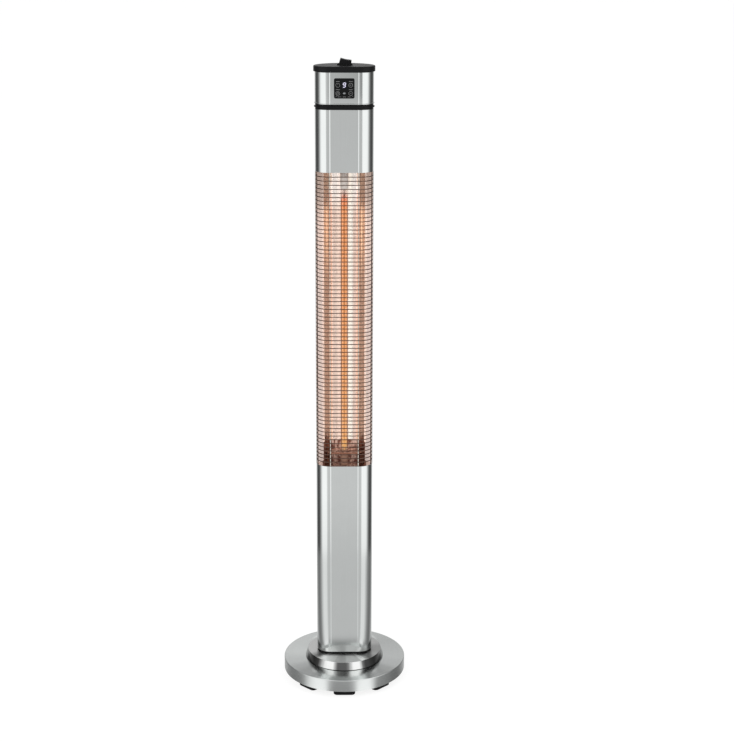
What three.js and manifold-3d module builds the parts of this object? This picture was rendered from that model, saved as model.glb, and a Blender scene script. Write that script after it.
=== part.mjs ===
// Infrared patio heater tower: a slim steel post on a round weighted base, a wire cage in
// front of a glowing lamp and its reflector, and a control head with a rocker switch on top.
// Millimetres, +Z up, the front faces -Y. The origin is on the floor under the base's centre.

import * as THREE from 'three';
import { mergeVertices } from 'three/addons/utils/BufferGeometryUtils.js';
import Module from 'manifold-3d';

const wasm = await Module();
wasm.setup();

// ---- Clearances ---------------------------------------------------------------------------
const seatGap = 0.3;        // between a part and what it sits on or in
const pressGap = 0.9;       // between a button's stem and its key switch, more than its travel

// ---- Tower section: a flat front, two round front corners and a half oval behind them -----
const towerWidth = 100;
const towerDepth = 60;
const towerCorner = 23.5;   // radius of the front corners
const tubeSheet = 1;        // steel sheet of both tubes and the head

// ---- Lengths up the tower -----------------------------------------------------------------
const footHeight = 12;      // from the floor to the base's rim
const baseThickness = 22;
const stepHeight = 14.3;
const gasketThickness = 3.5;
const lowerTubeHeight = 360.6;
const cageHeight = 525.7;
const upperTubeHeight = 106.2;
const jointRingHeight = 8.4;
const headHeight = 53.2;
const lidHeight = 9.5;

// ---- Base ---------------------------------------------------------------------------------
const footWidth = 39;
const footDepth = 28;
const footCorner = 7;
const footEdge = 1;
const footPlugRadius = 3.7;
const footPlugLength = 1.3;
const baseRadius = 111;
const footReach = baseRadius - 11; // from the base's axis to the outer face of a foot
const sideFootAngle = 45;   // degrees from the front or back foot to its neighbours
const baseSheet = 1.2;
const baseEdge = 1.4;       // bevel round the top of the rim
const coverHoleRadius = 45;
const basePlateThickness = 1.5;
const stepBottomRadius = 71.4;
const stepTopRadius = 66.6;
const stepEdge = 0.8;
const stepFoot = 1.2;       // straight part at the bottom of the step
const gasketInset = 0.8;
const footPlateThickness = 6;
const boltRadius = 3;
const boltHeadRadius = 5.5;
const boltHeadHeight = 4;
const boltEnd = 2;          // thread that stands out of the foot plate
const boltSpacingX = 60;
const boltSpacingY = 24;

// ---- Spine, decks and wiring --------------------------------------------------------------
const spineSheet = 1.2;
const spineWidth = 36.4;
const spineFront = 10;      // front of the spine's web
const spineBackGap = 1.5;   // between the spine's legs and the tube's wall
const spineFootLength = 12;
const spineFootThickness = 2;
const deckThickness = 2;
const cageSeat = 4;         // how far the cage's rods reach into each tube
const shieldThickness = 3;
const shieldLift = 34;      // from the upper deck to the heat shield
const loomRadius = 2.5;
const loomY = towerDepth / 2 - 12;
const loomBend = 6;
const leadRadius = 1.5;
const glandHeight = 28;     // gland's axis above the lower tube's bottom edge
const glandThreadRadius = 6;
const glandBoreRadius = 3.5;
const glandFlangeRadius = 10;
const glandFlangeLength = 6;
const glandDomeRadius = 6.2;
const glandDomeLength = 9;
const glandInside = 5;      // thread inside the tube's wall
const nutRadius = 9.5;
const nutThickness = 4;

// ---- Tip-over switch ----------------------------------------------------------------------
const tiltHeight = 84;      // pendulum's pin above the lower tube's bottom edge
const tiltY = -8;
const tiltPinRadius = 1;
const tiltArmThickness = 1.2;
const tiltWidth = 20;       // across the bracket's arms, outside
const tiltArmReach = 5;     // arm in front of, above and below the pin
const tiltBackHeight = 40;
const tiltSheet = 1.5;
const pendulumHub = 3;
const pendulumWidth = 8;
const pendulumLength = 18;
const pendulumStem = 1.5;
const bobRadius = 5;
const bobHeight = 10;
const tiltBoxWidth = 14;
const tiltBoxDepth = 12;
const tiltBoxHeight = 12;
const tiltBoxLift = 8;      // from the pin to the switch box

// ---- Cage ---------------------------------------------------------------------------------
const wireInset = 0.2;      // the rings stand this far inside the tubes' outside
const ringWire = 1.15;      // half the ring wire's thickness
const ringPitch = 14;
const rodWire = 1.2;        // half a rod's thickness
const weldDepth = 0.4;
const rodSpacing = 49.3;    // between the two rods behind the flat front
const sideRodAngle = 10;    // degrees from the tower's widest line forwards to a side rod
const coverSheet = 1;       // steel sheet of the rear cover
const coverCollar = 1;      // thickness of the collars that hold the cover in the tubes
const coverBand = 3;        // height that each collar shares with the cover
const coverEdgeGap = 0.4;   // between a ring's end and the cover's edge

// ---- Lamp and reflector -------------------------------------------------------------------
const lampY = -8;
const lampRadius = 6.2;
const lampWall = 1.2;
const capRadius = 7;
const capSocket = 8;
const lowerCapLength = 30;
const lowerCapLift = 2;     // from the lower deck's underside to the lower cap
const lowerShelfHeight = 24;
const bracketHeight = 42;
const bracketSheet = 1.2;
const upperCapLength = 50;
const upperCapRise = 16;    // upper cap above the upper deck's underside
const holderThickness = 5;
const holderRadius = 13;
const filamentWire = 0.7;
const filamentRadius = 3.2;
const filamentCurls = 32;
const filamentLowerLeg = 10;
const filamentUpperLeg = 14;
const reflectorSheet = 0.8;
const reflectorFlat = 48;
const reflectorWidth = 74;
const reflectorFront = -6;

// ---- Joint ring and head ------------------------------------------------------------------
const ringInset = 0.7;
const ringWall = 7.5;
const ringNeck = 5;
const ringLip = 1.3;
const ringLipThickness = 1.6;
const ringLipLift = 2.8;
const headFlange = 1;
const headFlangeHeight = 1.6;
const headFloorThickness = 1.6;
const pillarHeight = 5.5;
const pillarRadius = 2.5;
const lidOverhang = 2.2;
const lidEdge = 1.4;
const lidWall = 2.5;
const lidSkirt = 6;
const lidSkirtWall = 2;

// ---- Control panel ------------------------------------------------------------------------
const panelWidth = 34.5;
const panelHeight = 33.5;
const panelCorner = 2;
const panelLift = 10.2;     // from the head's bottom edge to the panel's bottom edge
const panelProud = 1.2;
const panelBackInset = 1.2; // the panel's plug is this much smaller all round
const panelPlugDepth = 3;   // plug behind the panel's front plate
const buttonRadius = 4.2;
const buttonProud = 0.3;
const buttonFlange = 5;
const buttonFlangeThickness = 1.2;
const buttonSpacing = 21.6;
const upperButtonLift = 22.1; // upper pair above the panel's bottom edge
const lowerButtonLift = 8.7;
const displayWidth = 9;
const displayHeight = 11;
const lensWidth = 4.4;
const lensHeight = 2.6;
const keyHeight = 2.6;
const keySize = 6;
const boardThickness = 1.6;
const controlBoardWidth = 33;
const controlBoardHeight = 34;
const postRadius = 1.6;
const postSpacingX = 27;
const postSpacingZ = 28.5;

// ---- Power board --------------------------------------------------------------------------
const powerBoardInset = 4;  // from the head's outside to the board's edge
const powerBoardFront = -14;
const pillarX = 32;
const pillarMargin = 5;     // from the board's front edge to the front pillars
const terminalWidth = 24;
const terminalDepth = 11;
const terminalHeight = 13;
const relayWidth = 20;
const relayDepth = 15;
const relayHeight = 16;
const relayX = -26;

// ---- Rocker switch ------------------------------------------------------------------------
const rockerX = 1;
const rockerLength = 20.8;
const rockerWidth = 13.2;
const rockerTop = 10.75;    // rocker's top corners above its pin
const rockerDish = 0.6;
const rockerBottom = 1.5;
const rockerTilt = 10.8;    // degrees each way from level
const rockerPinDepth = 1;   // pin below the lid's top face
const rockerPinRadius = 1;
const rockerSideGap = 0.4;
const rockerEndGap = 1.1;
const housingWall = 0.6;
const housingDepth = 20;
const housingCavity = 6;
const bezelWidth = 0.9;
const bezelHeight = 1.7;

// ---- Levels, from the floor up ------------------------------------------------------------
const baseBottom = footHeight;
const basePlateTop = baseBottom + basePlateThickness;
const baseTop = baseBottom + baseThickness;
const stepTop = baseTop + stepHeight;
const gasketBottom = stepTop + seatGap;
const gasketTop = gasketBottom + gasketThickness;
const lowerTubeBottom = gasketTop + seatGap;
const lowerTubeTop = lowerTubeBottom + lowerTubeHeight;
const cageBottom = lowerTubeTop + seatGap;
const cageTop = cageBottom + cageHeight;
const upperTubeBottom = cageTop + seatGap;
const upperTubeTop = upperTubeBottom + upperTubeHeight;
const jointRingBottom = upperTubeTop + seatGap;
const jointRingTop = jointRingBottom + jointRingHeight;
const headBottom = jointRingTop + seatGap;
const headTop = headBottom + headHeight;
const lidBottom = headTop + seatGap;
const lidTop = lidBottom + lidHeight;
const footPlateTop = lowerTubeBottom + footPlateThickness;
const lowerDeckTop = lowerTubeTop - cageSeat;
const lowerDeckBottom = lowerDeckTop - deckThickness;
const upperDeckBottom = upperTubeBottom + cageSeat;
const upperDeckTop = upperDeckBottom + deckThickness;
const insideInset = tubeSheet + seatGap;    // outline of what fits inside the tubes

// ---- Finishes -----------------------------------------------------------------------------
function finish(color, roughness, metalness, extra = {}) {
  return new THREE.MeshStandardMaterial({ color, roughness, metalness, ...extra });
}
const stainless = finish(0xb9bcbb, 0.3, 1);
const spunSteel = finish(0xa9aba9, 0.35, 1);
const polishedSteel = finish(0xc4c6c5, 0.15, 1);
const castIron = finish(0x3a3a3b, 0.8, 0.6);
const zincPlate = finish(0xa7a9a4, 0.45, 0.9);
const darkSteel = finish(0x4a3b34, 0.5, 0.8);
const cageWire = finish(0x5d5550, 0.4, 0.9);
const brightAluminium = finish(0xd9c9b8, 0.2, 1);
const satinBlack = finish(0x141416, 0.45, 0);
const glossBlack = finish(0x0b0b0d, 0.12, 0);
const rubber = finish(0x111112, 0.8, 0);
const quartz = finish(0xffd9b0, 0.05, 0, { transparent: true, opacity: 0.45 });
const glowing = finish(0xff7a1e, 0.6, 0, { emissive: 0xff5a10, emissiveIntensity: 2 });
const ceramic = finish(0xe6e0d4, 0.6, 0);
const mica = finish(0xb8a98c, 0.7, 0);
const boardGreen = finish(0x1d5a37, 0.5, 0.1);
const greyPlastic = finish(0x8b8f92, 0.5, 0);
const smokedPlastic = finish(0x1c1e24, 0.08, 0);
const copperLead = finish(0xc9c4b8, 0.6, 0);

// ---- Working with solids ------------------------------------------------------------------
const mergeDistance = 1e-4;

// Merges a geometry's shared corners, drops its empty triangles and turns its faces outwards.
function closed(geometry) {
  const bare = geometry.clone();
  bare.deleteAttribute('normal');
  bare.deleteAttribute('uv');
  const merged = mergeVertices(bare, mergeDistance);
  const faces = [];
  for (let i = 0; i < merged.index.count; i += 3) {
    const [a, b, c] = [0, 1, 2].map((step) => merged.index.getX(i + step));
    if (a !== b && b !== c && c !== a) faces.push(a, b, c);
  }
  if (volumeOf(merged.attributes.position, faces) < 0) faces.reverse();
  merged.setIndex(faces);
  return merged;
}

function volumeOf(position, faces) {
  const [a, b, c] = [new THREE.Vector3(), new THREE.Vector3(), new THREE.Vector3()];
  let sum = 0;
  for (let i = 0; i < faces.length; i += 3) {
    a.fromBufferAttribute(position, faces[i]);
    b.fromBufferAttribute(position, faces[i + 1]);
    c.fromBufferAttribute(position, faces[i + 2]);
    sum += a.dot(b.cross(c)) / 6;
  }
  return sum;
}

function toManifold(geometry) {
  return new wasm.Manifold(new wasm.Mesh({
    numProp: 3,
    vertProperties: new Float32Array(geometry.attributes.position.array),
    triVerts: new Uint32Array(geometry.index.array),
  }));
}

function fromManifold(manifold) {
  const mesh = manifold.getMesh();
  const geometry = new THREE.BufferGeometry();
  geometry.setAttribute('position', new THREE.BufferAttribute(mesh.vertProperties, 3));
  geometry.setIndex(Array.from(mesh.triVerts));
  return geometry;
}

function join(geometries) {
  return fromManifold(wasm.Manifold.union(geometries.map(toManifold)));
}

function cut(geometry, tools) {
  const removed = wasm.Manifold.union(tools.map(toManifold));
  return fromManifold(toManifold(geometry).subtract(removed));
}

// ---- Shapes -------------------------------------------------------------------------------
const cornerSteps = 6;
const backSteps = 16;
const circleSteps = 12;

// A rectangle with round corners, as points counter-clockwise.
function roundedPoints(halfX, halfY, radius, steps, x = 0, y = 0) {
  const points = [];
  for (let corner = 0; corner < 4; corner += 1) {
    const signX = corner === 0 || corner === 3 ? 1 : -1;
    const signY = corner < 2 ? 1 : -1;
    for (let step = 0; step <= steps; step += 1) {
      const angle = (corner + step / steps) * Math.PI / 2;
      points.push(new THREE.Vector2(
        x + signX * (halfX - radius) + radius * Math.cos(angle),
        y + signY * (halfY - radius) + radius * Math.sin(angle),
      ));
    }
  }
  return points;
}

// The tower is widest at this y, where its front corners meet its oval back.
const widestY = towerCorner - towerDepth / 2;

// The oval back of the tower's section, drawn in by an inset, from the right to the left.
function backPoints(inset, steps = backSteps) {
  const [halfX, halfY] = [towerWidth / 2, towerDepth / 2 - widestY];
  return Array.from({ length: steps + 1 }, (_, step) => {
    const angle = Math.PI * step / steps;
    const onOval = new THREE.Vector2(halfX * Math.cos(angle), halfY * Math.sin(angle));
    const outwards = new THREE.Vector2(Math.cos(angle) / halfX, Math.sin(angle) / halfY).normalize();
    return onOval.addScaledVector(outwards, -inset).add(new THREE.Vector2(0, widestY));
  });
}

// Both front corners of the tower's section, drawn in by an inset, from the left to the right.
function frontPoints(inset, steps = cornerSteps) {
  const points = [];
  [-1, 1].forEach((sign, corner) => {
    for (let step = 0; step <= steps; step += 1) {
      const angle = Math.PI + (corner + step / steps) * Math.PI / 2;
      points.push(new THREE.Vector2(
        sign * (towerWidth / 2 - towerCorner) + (towerCorner - inset) * Math.cos(angle),
        widestY + (towerCorner - inset) * Math.sin(angle),
      ));
    }
  });
  return points;
}

// The tower's section, drawn in by an inset on every side.
function towerPoints(inset) {
  return [...backPoints(inset), ...frontPoints(inset).slice(1, -1)];
}

// How far back the section, drawn in by an inset, reaches at a distance x from its middle.
function backAt(x, inset) {
  const points = backPoints(inset);
  const last = points.findIndex((point) => point.x <= x);
  const [a, b] = [points[last - 1], points[last]];
  return a.y + (b.y - a.y) * (x - a.x) / (b.x - a.x);
}

function towerOutline(inset, holes = []) {
  return outline(towerPoints(inset), holes);
}

function outline(points, holes = []) {
  const shape = new THREE.Shape(points);
  shape.holes.push(...holes.map((hole) => new THREE.Path(hole)));
  return shape;
}

function circlePoints(x, y, radius, steps = circleSteps) {
  const points = [];
  for (let step = 0; step < steps; step += 1) {
    const angle = 2 * Math.PI * step / steps;
    points.push(new THREE.Vector2(x + radius * Math.cos(angle), y + radius * Math.sin(angle)));
  }
  return points;
}

function rectanglePoints(left, right, front, back) {
  return [[left, front], [right, front], [right, back], [left, back]]
    .map(([x, y]) => new THREE.Vector2(x, y));
}

// ---- Solids -------------------------------------------------------------------------------
function prism(shape, bottom, top) {
  const geometry = new THREE.ExtrudeGeometry(shape, { depth: top - bottom, bevelEnabled: false });
  return closed(geometry.translate(0, 0, bottom));
}

// A shape drawn in x and z, with its thickness along y.
function frontPrism(shape, front, back) {
  const geometry = new THREE.ExtrudeGeometry(shape, { depth: back - front, bevelEnabled: false });
  return closed(geometry.rotateX(Math.PI / 2).translate(0, back, 0));
}

// A shape drawn in y and z, with its thickness along x.
function sidePrism(shape, left, right) {
  const geometry = new THREE.ExtrudeGeometry(shape, { depth: right - left, bevelEnabled: false });
  geometry.rotateX(Math.PI / 2).rotateZ(Math.PI / 2);
  return closed(geometry.translate(left, 0, 0));
}

function block(left, right, front, back, bottom, top) {
  return prism(outline(rectanglePoints(left, right, front, back)), bottom, top);
}

// A body turned about the z axis from [radius, height] pairs.
function turned(profile, sides) {
  const points = profile.map(([radius, height]) => new THREE.Vector2(radius, height));
  return closed(new THREE.LatheGeometry(points, sides).rotateX(Math.PI / 2));
}

function cylinder(x, y, radius, bottom, top, sides = circleSteps) {
  return prism(outline(circlePoints(x, y, radius, sides)), bottom, top);
}

// A body whose section is the tower's, with its own inset at each level.
function towerLoft(levels) {
  const positions = [];
  const faces = [];
  const count = towerPoints(0).length;
  levels.forEach(([inset, height]) => {
    towerPoints(inset).forEach((point) => positions.push(point.x, point.y, height));
  });
  for (let level = 1; level < levels.length; level += 1) {
    for (let i = 0; i < count; i += 1) {
      const next = (i + 1) % count;
      const [low, high] = [(level - 1) * count, level * count];
      faces.push(low + i, low + next, high + next, low + i, high + next, high + i);
    }
  }
  const last = (levels.length - 1) * count;
  for (let i = 2; i < count; i += 1) faces.push(0, i, i - 1, last, last + i - 1, last + i);
  const geometry = new THREE.BufferGeometry();
  geometry.setAttribute('position', new THREE.Float32BufferAttribute(positions, 3));
  geometry.setIndex(faces);
  return closed(geometry);
}

// A wire along points, with flat ends or as a closed loop.
function wireAlong(points, radius, sides, isLoop = false) {
  const positions = [];
  const faces = [];
  const normal = new THREE.Vector3(0, 0, 1);
  points.forEach((point, i) => {
    const before = points[isLoop ? (i + points.length - 1) % points.length : Math.max(i - 1, 0)];
    const after = points[isLoop ? (i + 1) % points.length : Math.min(i + 1, points.length - 1)];
    const along = after.clone().sub(before).normalize();
    if (i === 0 && Math.abs(along.z) > 0.9) normal.set(1, 0, 0);
    normal.addScaledVector(along, -normal.dot(along)).normalize();
    const across = along.clone().cross(normal);
    for (let side = 0; side < sides; side += 1) {
      const angle = 2 * Math.PI * side / sides - Math.PI / 2;
      const corner = point.clone().addScaledVector(normal, radius * Math.cos(angle));
      corner.addScaledVector(across, radius * Math.sin(angle));
      positions.push(corner.x, corner.y, corner.z);
    }
  });
  const stretches = isLoop ? points.length : points.length - 1;
  for (let i = 0; i < stretches; i += 1) {
    const next = (i + 1) % points.length;
    for (let side = 0; side < sides; side += 1) {
      const other = (side + 1) % sides;
      const corners = [i * sides + side, i * sides + other, next * sides + other, next * sides + side];
      faces.push(corners[0], corners[1], corners[2], corners[0], corners[2], corners[3]);
    }
  }
  if (!isLoop) {
    const last = (points.length - 1) * sides;
    for (let side = 2; side < sides; side += 1) {
      faces.push(0, side, side - 1, last, last + side - 1, last + side);
    }
  }
  const geometry = new THREE.BufferGeometry();
  geometry.setAttribute('position', new THREE.Float32BufferAttribute(positions, 3));
  geometry.setIndex(faces);
  return closed(geometry);
}

// ---- The assembly -------------------------------------------------------------------------
const tower = new THREE.Group();

function add(name, geometry, material) {
  geometry.computeVertexNormals();
  const mesh = new THREE.Mesh(geometry, material);
  mesh.name = name;
  tower.add(mesh);
}

// ---- Base: feet, plate, ballast, cover, step and the bolts through them --------------------
const boltPlaces = [[1, 1], [-1, 1], [-1, -1], [1, -1]]
  .map(([x, y]) => [x * boltSpacingX / 2, y * boltSpacingY / 2]);
const boltHoleRadius = boltRadius + seatGap;

function boltHoles() {
  return boltPlaces.map(([x, y]) => circlePoints(x, y, boltHoleRadius, 8));
}

function footTurns() {
  return [0, 180].flatMap((facing) => [0, sideFootAngle, -sideFootAngle].map((degrees) => facing + degrees));
}

function footPlaces() {
  const middle = footReach - footDepth / 2;
  return footTurns().map((degrees) => {
    const angle = THREE.MathUtils.degToRad(degrees);
    return [middle * Math.sin(angle), -middle * Math.cos(angle)];
  });
}

function makeBase() {
  const footTop = baseBottom - seatGap;
  const plug = cylinder(0, 0, footPlugRadius, footTop - footEdge, footTop + footPlugLength);
  const pad = (inset, bottom) => prism(
    outline(roundedPoints(footWidth / 2 - inset, footDepth / 2 - inset, footCorner - inset, 4)), bottom, footTop);
  const sole = fromManifold(wasm.Manifold.hull([pad(footEdge, 0), pad(0, footEdge)].map(toManifold)));
  const foot = join([sole, plug]);
  footPlaces().forEach(([x, y], i) => {
    const turn = THREE.MathUtils.degToRad(footTurns()[i]);
    add(`foot_${i + 1}`, foot.clone().rotateZ(turn).translate(x, y, 0), rubber);
  });

  const insideRadius = baseRadius - baseSheet - seatGap;
  const plugHoles = footPlaces().map(([x, y]) => circlePoints(x, y, footPlugRadius + seatGap, 8));
  const plate = outline(circlePoints(0, 0, insideRadius, 48), [...boltHoles(), ...plugHoles]);
  add('base_plate', prism(plate, baseBottom, basePlateTop), zincPlate);

  const ballast = outline(circlePoints(0, 0, insideRadius, 48), boltHoles());
  const ballastTop = baseTop - baseSheet - seatGap;
  add('base_ballast', prism(ballast, basePlateTop + seatGap, ballastTop), castIron);

  const cover = turned([
    [coverHoleRadius, baseTop], [baseRadius - baseEdge, baseTop], [baseRadius, baseTop - baseEdge],
    [baseRadius, baseBottom], [baseRadius - baseSheet, baseBottom],
    [baseRadius - baseSheet, baseTop - baseSheet], [coverHoleRadius, baseTop - baseSheet],
    [coverHoleRadius, baseTop],
  ], 60);
  add('base_cover', cover, spunSteel);

  const stepBottom = baseTop + seatGap;
  const step = turned([
    [0, stepBottom], [stepBottomRadius, stepBottom], [stepBottomRadius, stepBottom + stepFoot],
    [stepTopRadius, stepTop - stepEdge], [stepTopRadius - stepEdge, stepTop], [0, stepTop],
  ], 48);
  const holes = boltPlaces.map(([x, y]) => cylinder(x, y, boltHoleRadius, stepBottom - 1, stepTop + 1, 8));
  add('base_step', cut(step, holes), polishedSteel);

  const gasket = towerOutline(gasketInset, boltHoles());
  add('post_gasket', prism(gasket, gasketBottom, gasketTop), rubber);

  const footPlate = towerOutline(insideInset, boltHoles());
  add('post_foot_plate', prism(footPlate, lowerTubeBottom, footPlateTop), zincPlate);

  const headTopLevel = baseBottom - seatGap;
  boltPlaces.forEach(([x, y], i) => {
    const bolt = turned([
      [0, headTopLevel - boltHeadHeight], [boltHeadRadius, headTopLevel - boltHeadHeight],
      [boltHeadRadius, headTopLevel], [boltRadius, headTopLevel],
      [boltRadius, footPlateTop + boltEnd], [0, footPlateTop + boltEnd],
    ], 8);
    add(`base_bolt_${i + 1}`, bolt.translate(x, y, 0), zincPlate);
  });
}

// ---- Post: lower tube, decks, spine, gland and wiring -------------------------------------
const glandZ = lowerTubeBottom + glandHeight;
const spineBack = backAt(spineWidth / 2 + seatGap, tubeSheet) - spineBackGap;
const spineTop = jointRingBottom - ringNeck - seatGap;
const insideWallY = towerDepth / 2 - tubeSheet;
const glandEndY = insideWallY - glandInside;

function tube(bottom, top) {
  return prism(towerOutline(0, [towerPoints(tubeSheet)]), bottom, top);
}

// The opening that the spine passes in a deck.
function spineHole() {
  const half = spineWidth / 2 + seatGap;
  return rectanglePoints(-half, half, spineFront - seatGap, spineBack + seatGap);
}

// A plate across the inside of a tube, with openings for the spine and the lamp or its lead.
function deck(bottom, thickness, lampHoleRadius) {
  const holes = [spineHole(), circlePoints(0, lampY, lampHoleRadius)];
  return prism(towerOutline(insideInset, holes), bottom, bottom + thickness);
}

function makePost() {
  const glandHole = turned([
    [0, -tubeSheet], [glandThreadRadius + seatGap, -tubeSheet],
    [glandThreadRadius + seatGap, 2 * tubeSheet], [0, 2 * tubeSheet],
  ], 24);
  glandHole.rotateX(-Math.PI / 2).translate(0, insideWallY, glandZ);
  add('lower_tube', cut(tube(lowerTubeBottom, lowerTubeTop), [glandHole]), stainless);
  add('upper_tube', tube(upperTubeBottom, upperTubeTop), stainless);

  const capHole = capRadius + seatGap;
  add('lower_deck', deck(lowerDeckBottom, deckThickness, capHole), darkSteel);
  add('upper_deck', deck(upperDeckBottom, deckThickness, capHole), darkSteel);
  const shieldBottom = upperDeckTop + shieldLift;
  add('heat_shield', deck(shieldBottom, shieldThickness, leadRadius + seatGap), mica);

  const half = spineWidth / 2;
  const inner = half - spineSheet;
  const channel = [
    [-half, spineFront], [half, spineFront], [half, spineBack], [inner, spineBack],
    [inner, spineFront + spineSheet], [-inner, spineFront + spineSheet],
    [-inner, spineBack], [-half, spineBack],
  ].map(([x, y]) => new THREE.Vector2(x, y));
  const spineBottom = footPlateTop + seatGap;
  const spine = join([
    prism(outline(channel), spineBottom, spineTop),
    block(-half, half, spineFront - spineFootLength, spineFront + spineSheet,
      spineBottom, spineBottom + spineFootThickness),
  ]);
  add('spine_channel', spine, zincPlate);
}

function makeWiring() {
  const outside = towerDepth / 2 + seatGap;
  const gland = turned([
    [glandBoreRadius, glandEndY], [glandThreadRadius, glandEndY], [glandThreadRadius, outside],
    [glandFlangeRadius, outside], [glandFlangeRadius, outside + glandFlangeLength],
    [glandDomeRadius + 1, outside + glandFlangeLength],
    [glandDomeRadius, outside + glandFlangeLength + glandDomeLength],
    [glandBoreRadius, outside + glandFlangeLength + glandDomeLength], [glandBoreRadius, glandEndY],
  ], 18);
  add('cable_gland', gland.rotateX(-Math.PI / 2).translate(0, 0, glandZ), satinBlack);

  const nutBack = backAt(nutRadius, tubeSheet) - seatGap;
  const nutShape = outline(circlePoints(0, glandZ, nutRadius, 6),
    [circlePoints(0, glandZ, glandThreadRadius + seatGap, 18)]);
  add('gland_nut', frontPrism(nutShape, nutBack - nutThickness, nutBack), satinBlack);

  const loomStart = glandEndY - seatGap;
  const loomEnd = headBottom + headFloorThickness + pillarHeight + seatGap + boardThickness;
  const loomPoints = [[loomStart, glandZ]];
  const bend = Math.min(loomBend, loomStart - loomY);
  for (let step = 0; step <= 4; step += 1) {
    const angle = step / 4 * Math.PI / 2;
    loomPoints.push([loomY + bend * (1 - Math.sin(angle)), glandZ + bend * (1 - Math.cos(angle)) + 0.01]);
  }
  loomPoints.push([loomY, loomEnd]);
  const loomPath = loomPoints.map(([y, z]) => new THREE.Vector3(0, y, z));
  add('wiring_loom', wireAlong(loomPath, loomRadius, 8), rubber);
}

// ---- Tip-over switch: a pendulum on a bracket, with its switch box -------------------------
function makeTiltSwitch() {
  const pinZ = lowerTubeBottom + tiltHeight;
  const backY = spineFront - seatGap;
  const half = tiltWidth / 2;
  const pinHole = circlePoints(tiltY, pinZ, tiltPinRadius + seatGap, 12);
  const armSide = rectanglePoints(tiltY - tiltArmReach, backY, pinZ - tiltArmReach, pinZ + tiltArmReach);
  const arm = outline(armSide, [pinHole]);
  const bracket = join([
    block(-half, half, backY - tiltSheet, backY, pinZ - tiltBackHeight / 2, pinZ + tiltBackHeight / 2),
    sidePrism(arm, -half, -half + tiltArmThickness),
    sidePrism(arm, half - tiltArmThickness, half),
  ]);
  add('tilt_bracket', bracket, zincPlate);

  const pin = sidePrism(outline(circlePoints(tiltY, pinZ, tiltPinRadius, 12)), -half, half);
  add('tilt_pin', pin, zincPlate);

  const hubSide = outline(circlePoints(tiltY, pinZ, pendulumHub, 16), [pinHole]);
  const hub = sidePrism(hubSide, -pendulumWidth / 2, pendulumWidth / 2);
  const hubEdge = pinZ - (pendulumHub + tiltPinRadius) / 2;
  const bobZ = pinZ - pendulumLength;
  const stem = cylinder(0, tiltY, pendulumStem, bobZ, hubEdge, 10);
  const bob = cylinder(0, tiltY, bobRadius, bobZ - bobHeight / 2, bobZ + bobHeight / 2, 18);
  add('tilt_pendulum', join([hub, stem, bob]), polishedSteel);

  const boxBack = backY - tiltSheet - seatGap;
  const boxBottom = pinZ + tiltBoxLift;
  add('tilt_switch_box', block(-tiltBoxWidth / 2, tiltBoxWidth / 2, boxBack - tiltBoxDepth, boxBack,
    boxBottom, boxBottom + tiltBoxHeight), greyPlastic);
}

// ---- Cage: wires round the front, welded to upright rods, and the sheet cover behind --------
function makeCage() {
  const wire = frontPoints(wireInset + ringWire, 4);
  [wire[0], wire[wire.length - 1]].forEach((end) => end.setY(end.y - coverEdgeGap));
  const rings = [];
  for (let z = cageTop - ringPitch / 2; z > cageBottom + ringWire; z -= ringPitch) {
    rings.push(wireAlong(wire.map((point) => new THREE.Vector3(point.x, point.y, z)), ringWire, 3));
  }
  const rodInset = wireInset + 2 * ringWire + rodWire - weldDepth;
  const sideAngle = THREE.MathUtils.degToRad(sideRodAngle);
  const sideX = towerWidth / 2 - towerCorner + (towerCorner - rodInset) * Math.cos(sideAngle);
  const sideY = widestY - (towerCorner - rodInset) * Math.sin(sideAngle);
  const rodPlaces = [[rodSpacing / 2, rodInset - towerDepth / 2], [sideX, sideY]];
  const rods = [-1, 1].flatMap((sign) => rodPlaces.map(([x, y]) => block(
    sign * x - rodWire, sign * x + rodWire, y - rodWire, y + rodWire,
    lowerDeckTop + seatGap, upperDeckBottom - seatGap,
  )));
  add('grille_cage', join([...rings, ...rods]), cageWire);

  const band = (outside, inside, bottom, top) => prism(
    outline([...backPoints(outside), ...backPoints(inside).reverse()]), bottom, top,
  );
  const collarInside = insideInset + coverCollar;
  add('rear_cover', join([
    band(0, coverSheet, cageBottom, cageTop),
    band(coverSheet / 2, collarInside, cageBottom, cageBottom + coverBand),
    band(coverSheet / 2, collarInside, cageTop - coverBand, cageTop),
    band(insideInset, collarInside, lowerDeckTop + seatGap, cageBottom + coverBand / 2),
    band(insideInset, collarInside, cageTop - coverBand / 2, upperDeckBottom - seatGap),
  ]), stainless);
}

// ---- Reflector, lamp and its holders ------------------------------------------------------
const reflectorBackY = spineFront - seatGap;
const bracketTop = lowerDeckTop + seatGap + bracketHeight;

// A trough: a flat back with two wings that lean forwards.
function troughPoints(sheet) {
  const [flat, wing] = [reflectorFlat / 2, reflectorWidth / 2];
  const lean = Math.atan2(reflectorBackY - reflectorFront, wing - flat);
  const lipX = wing - sheet / Math.sin(lean);
  const foldX = flat - sheet * Math.tan(lean / 2);
  return [
    [-wing, reflectorFront], [-flat, reflectorBackY], [flat, reflectorBackY], [wing, reflectorFront],
    [lipX, reflectorFront], [foldX, reflectorBackY - sheet], [-foldX, reflectorBackY - sheet],
    [-lipX, reflectorFront],
  ].map(([x, y]) => new THREE.Vector2(x, y));
}

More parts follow.
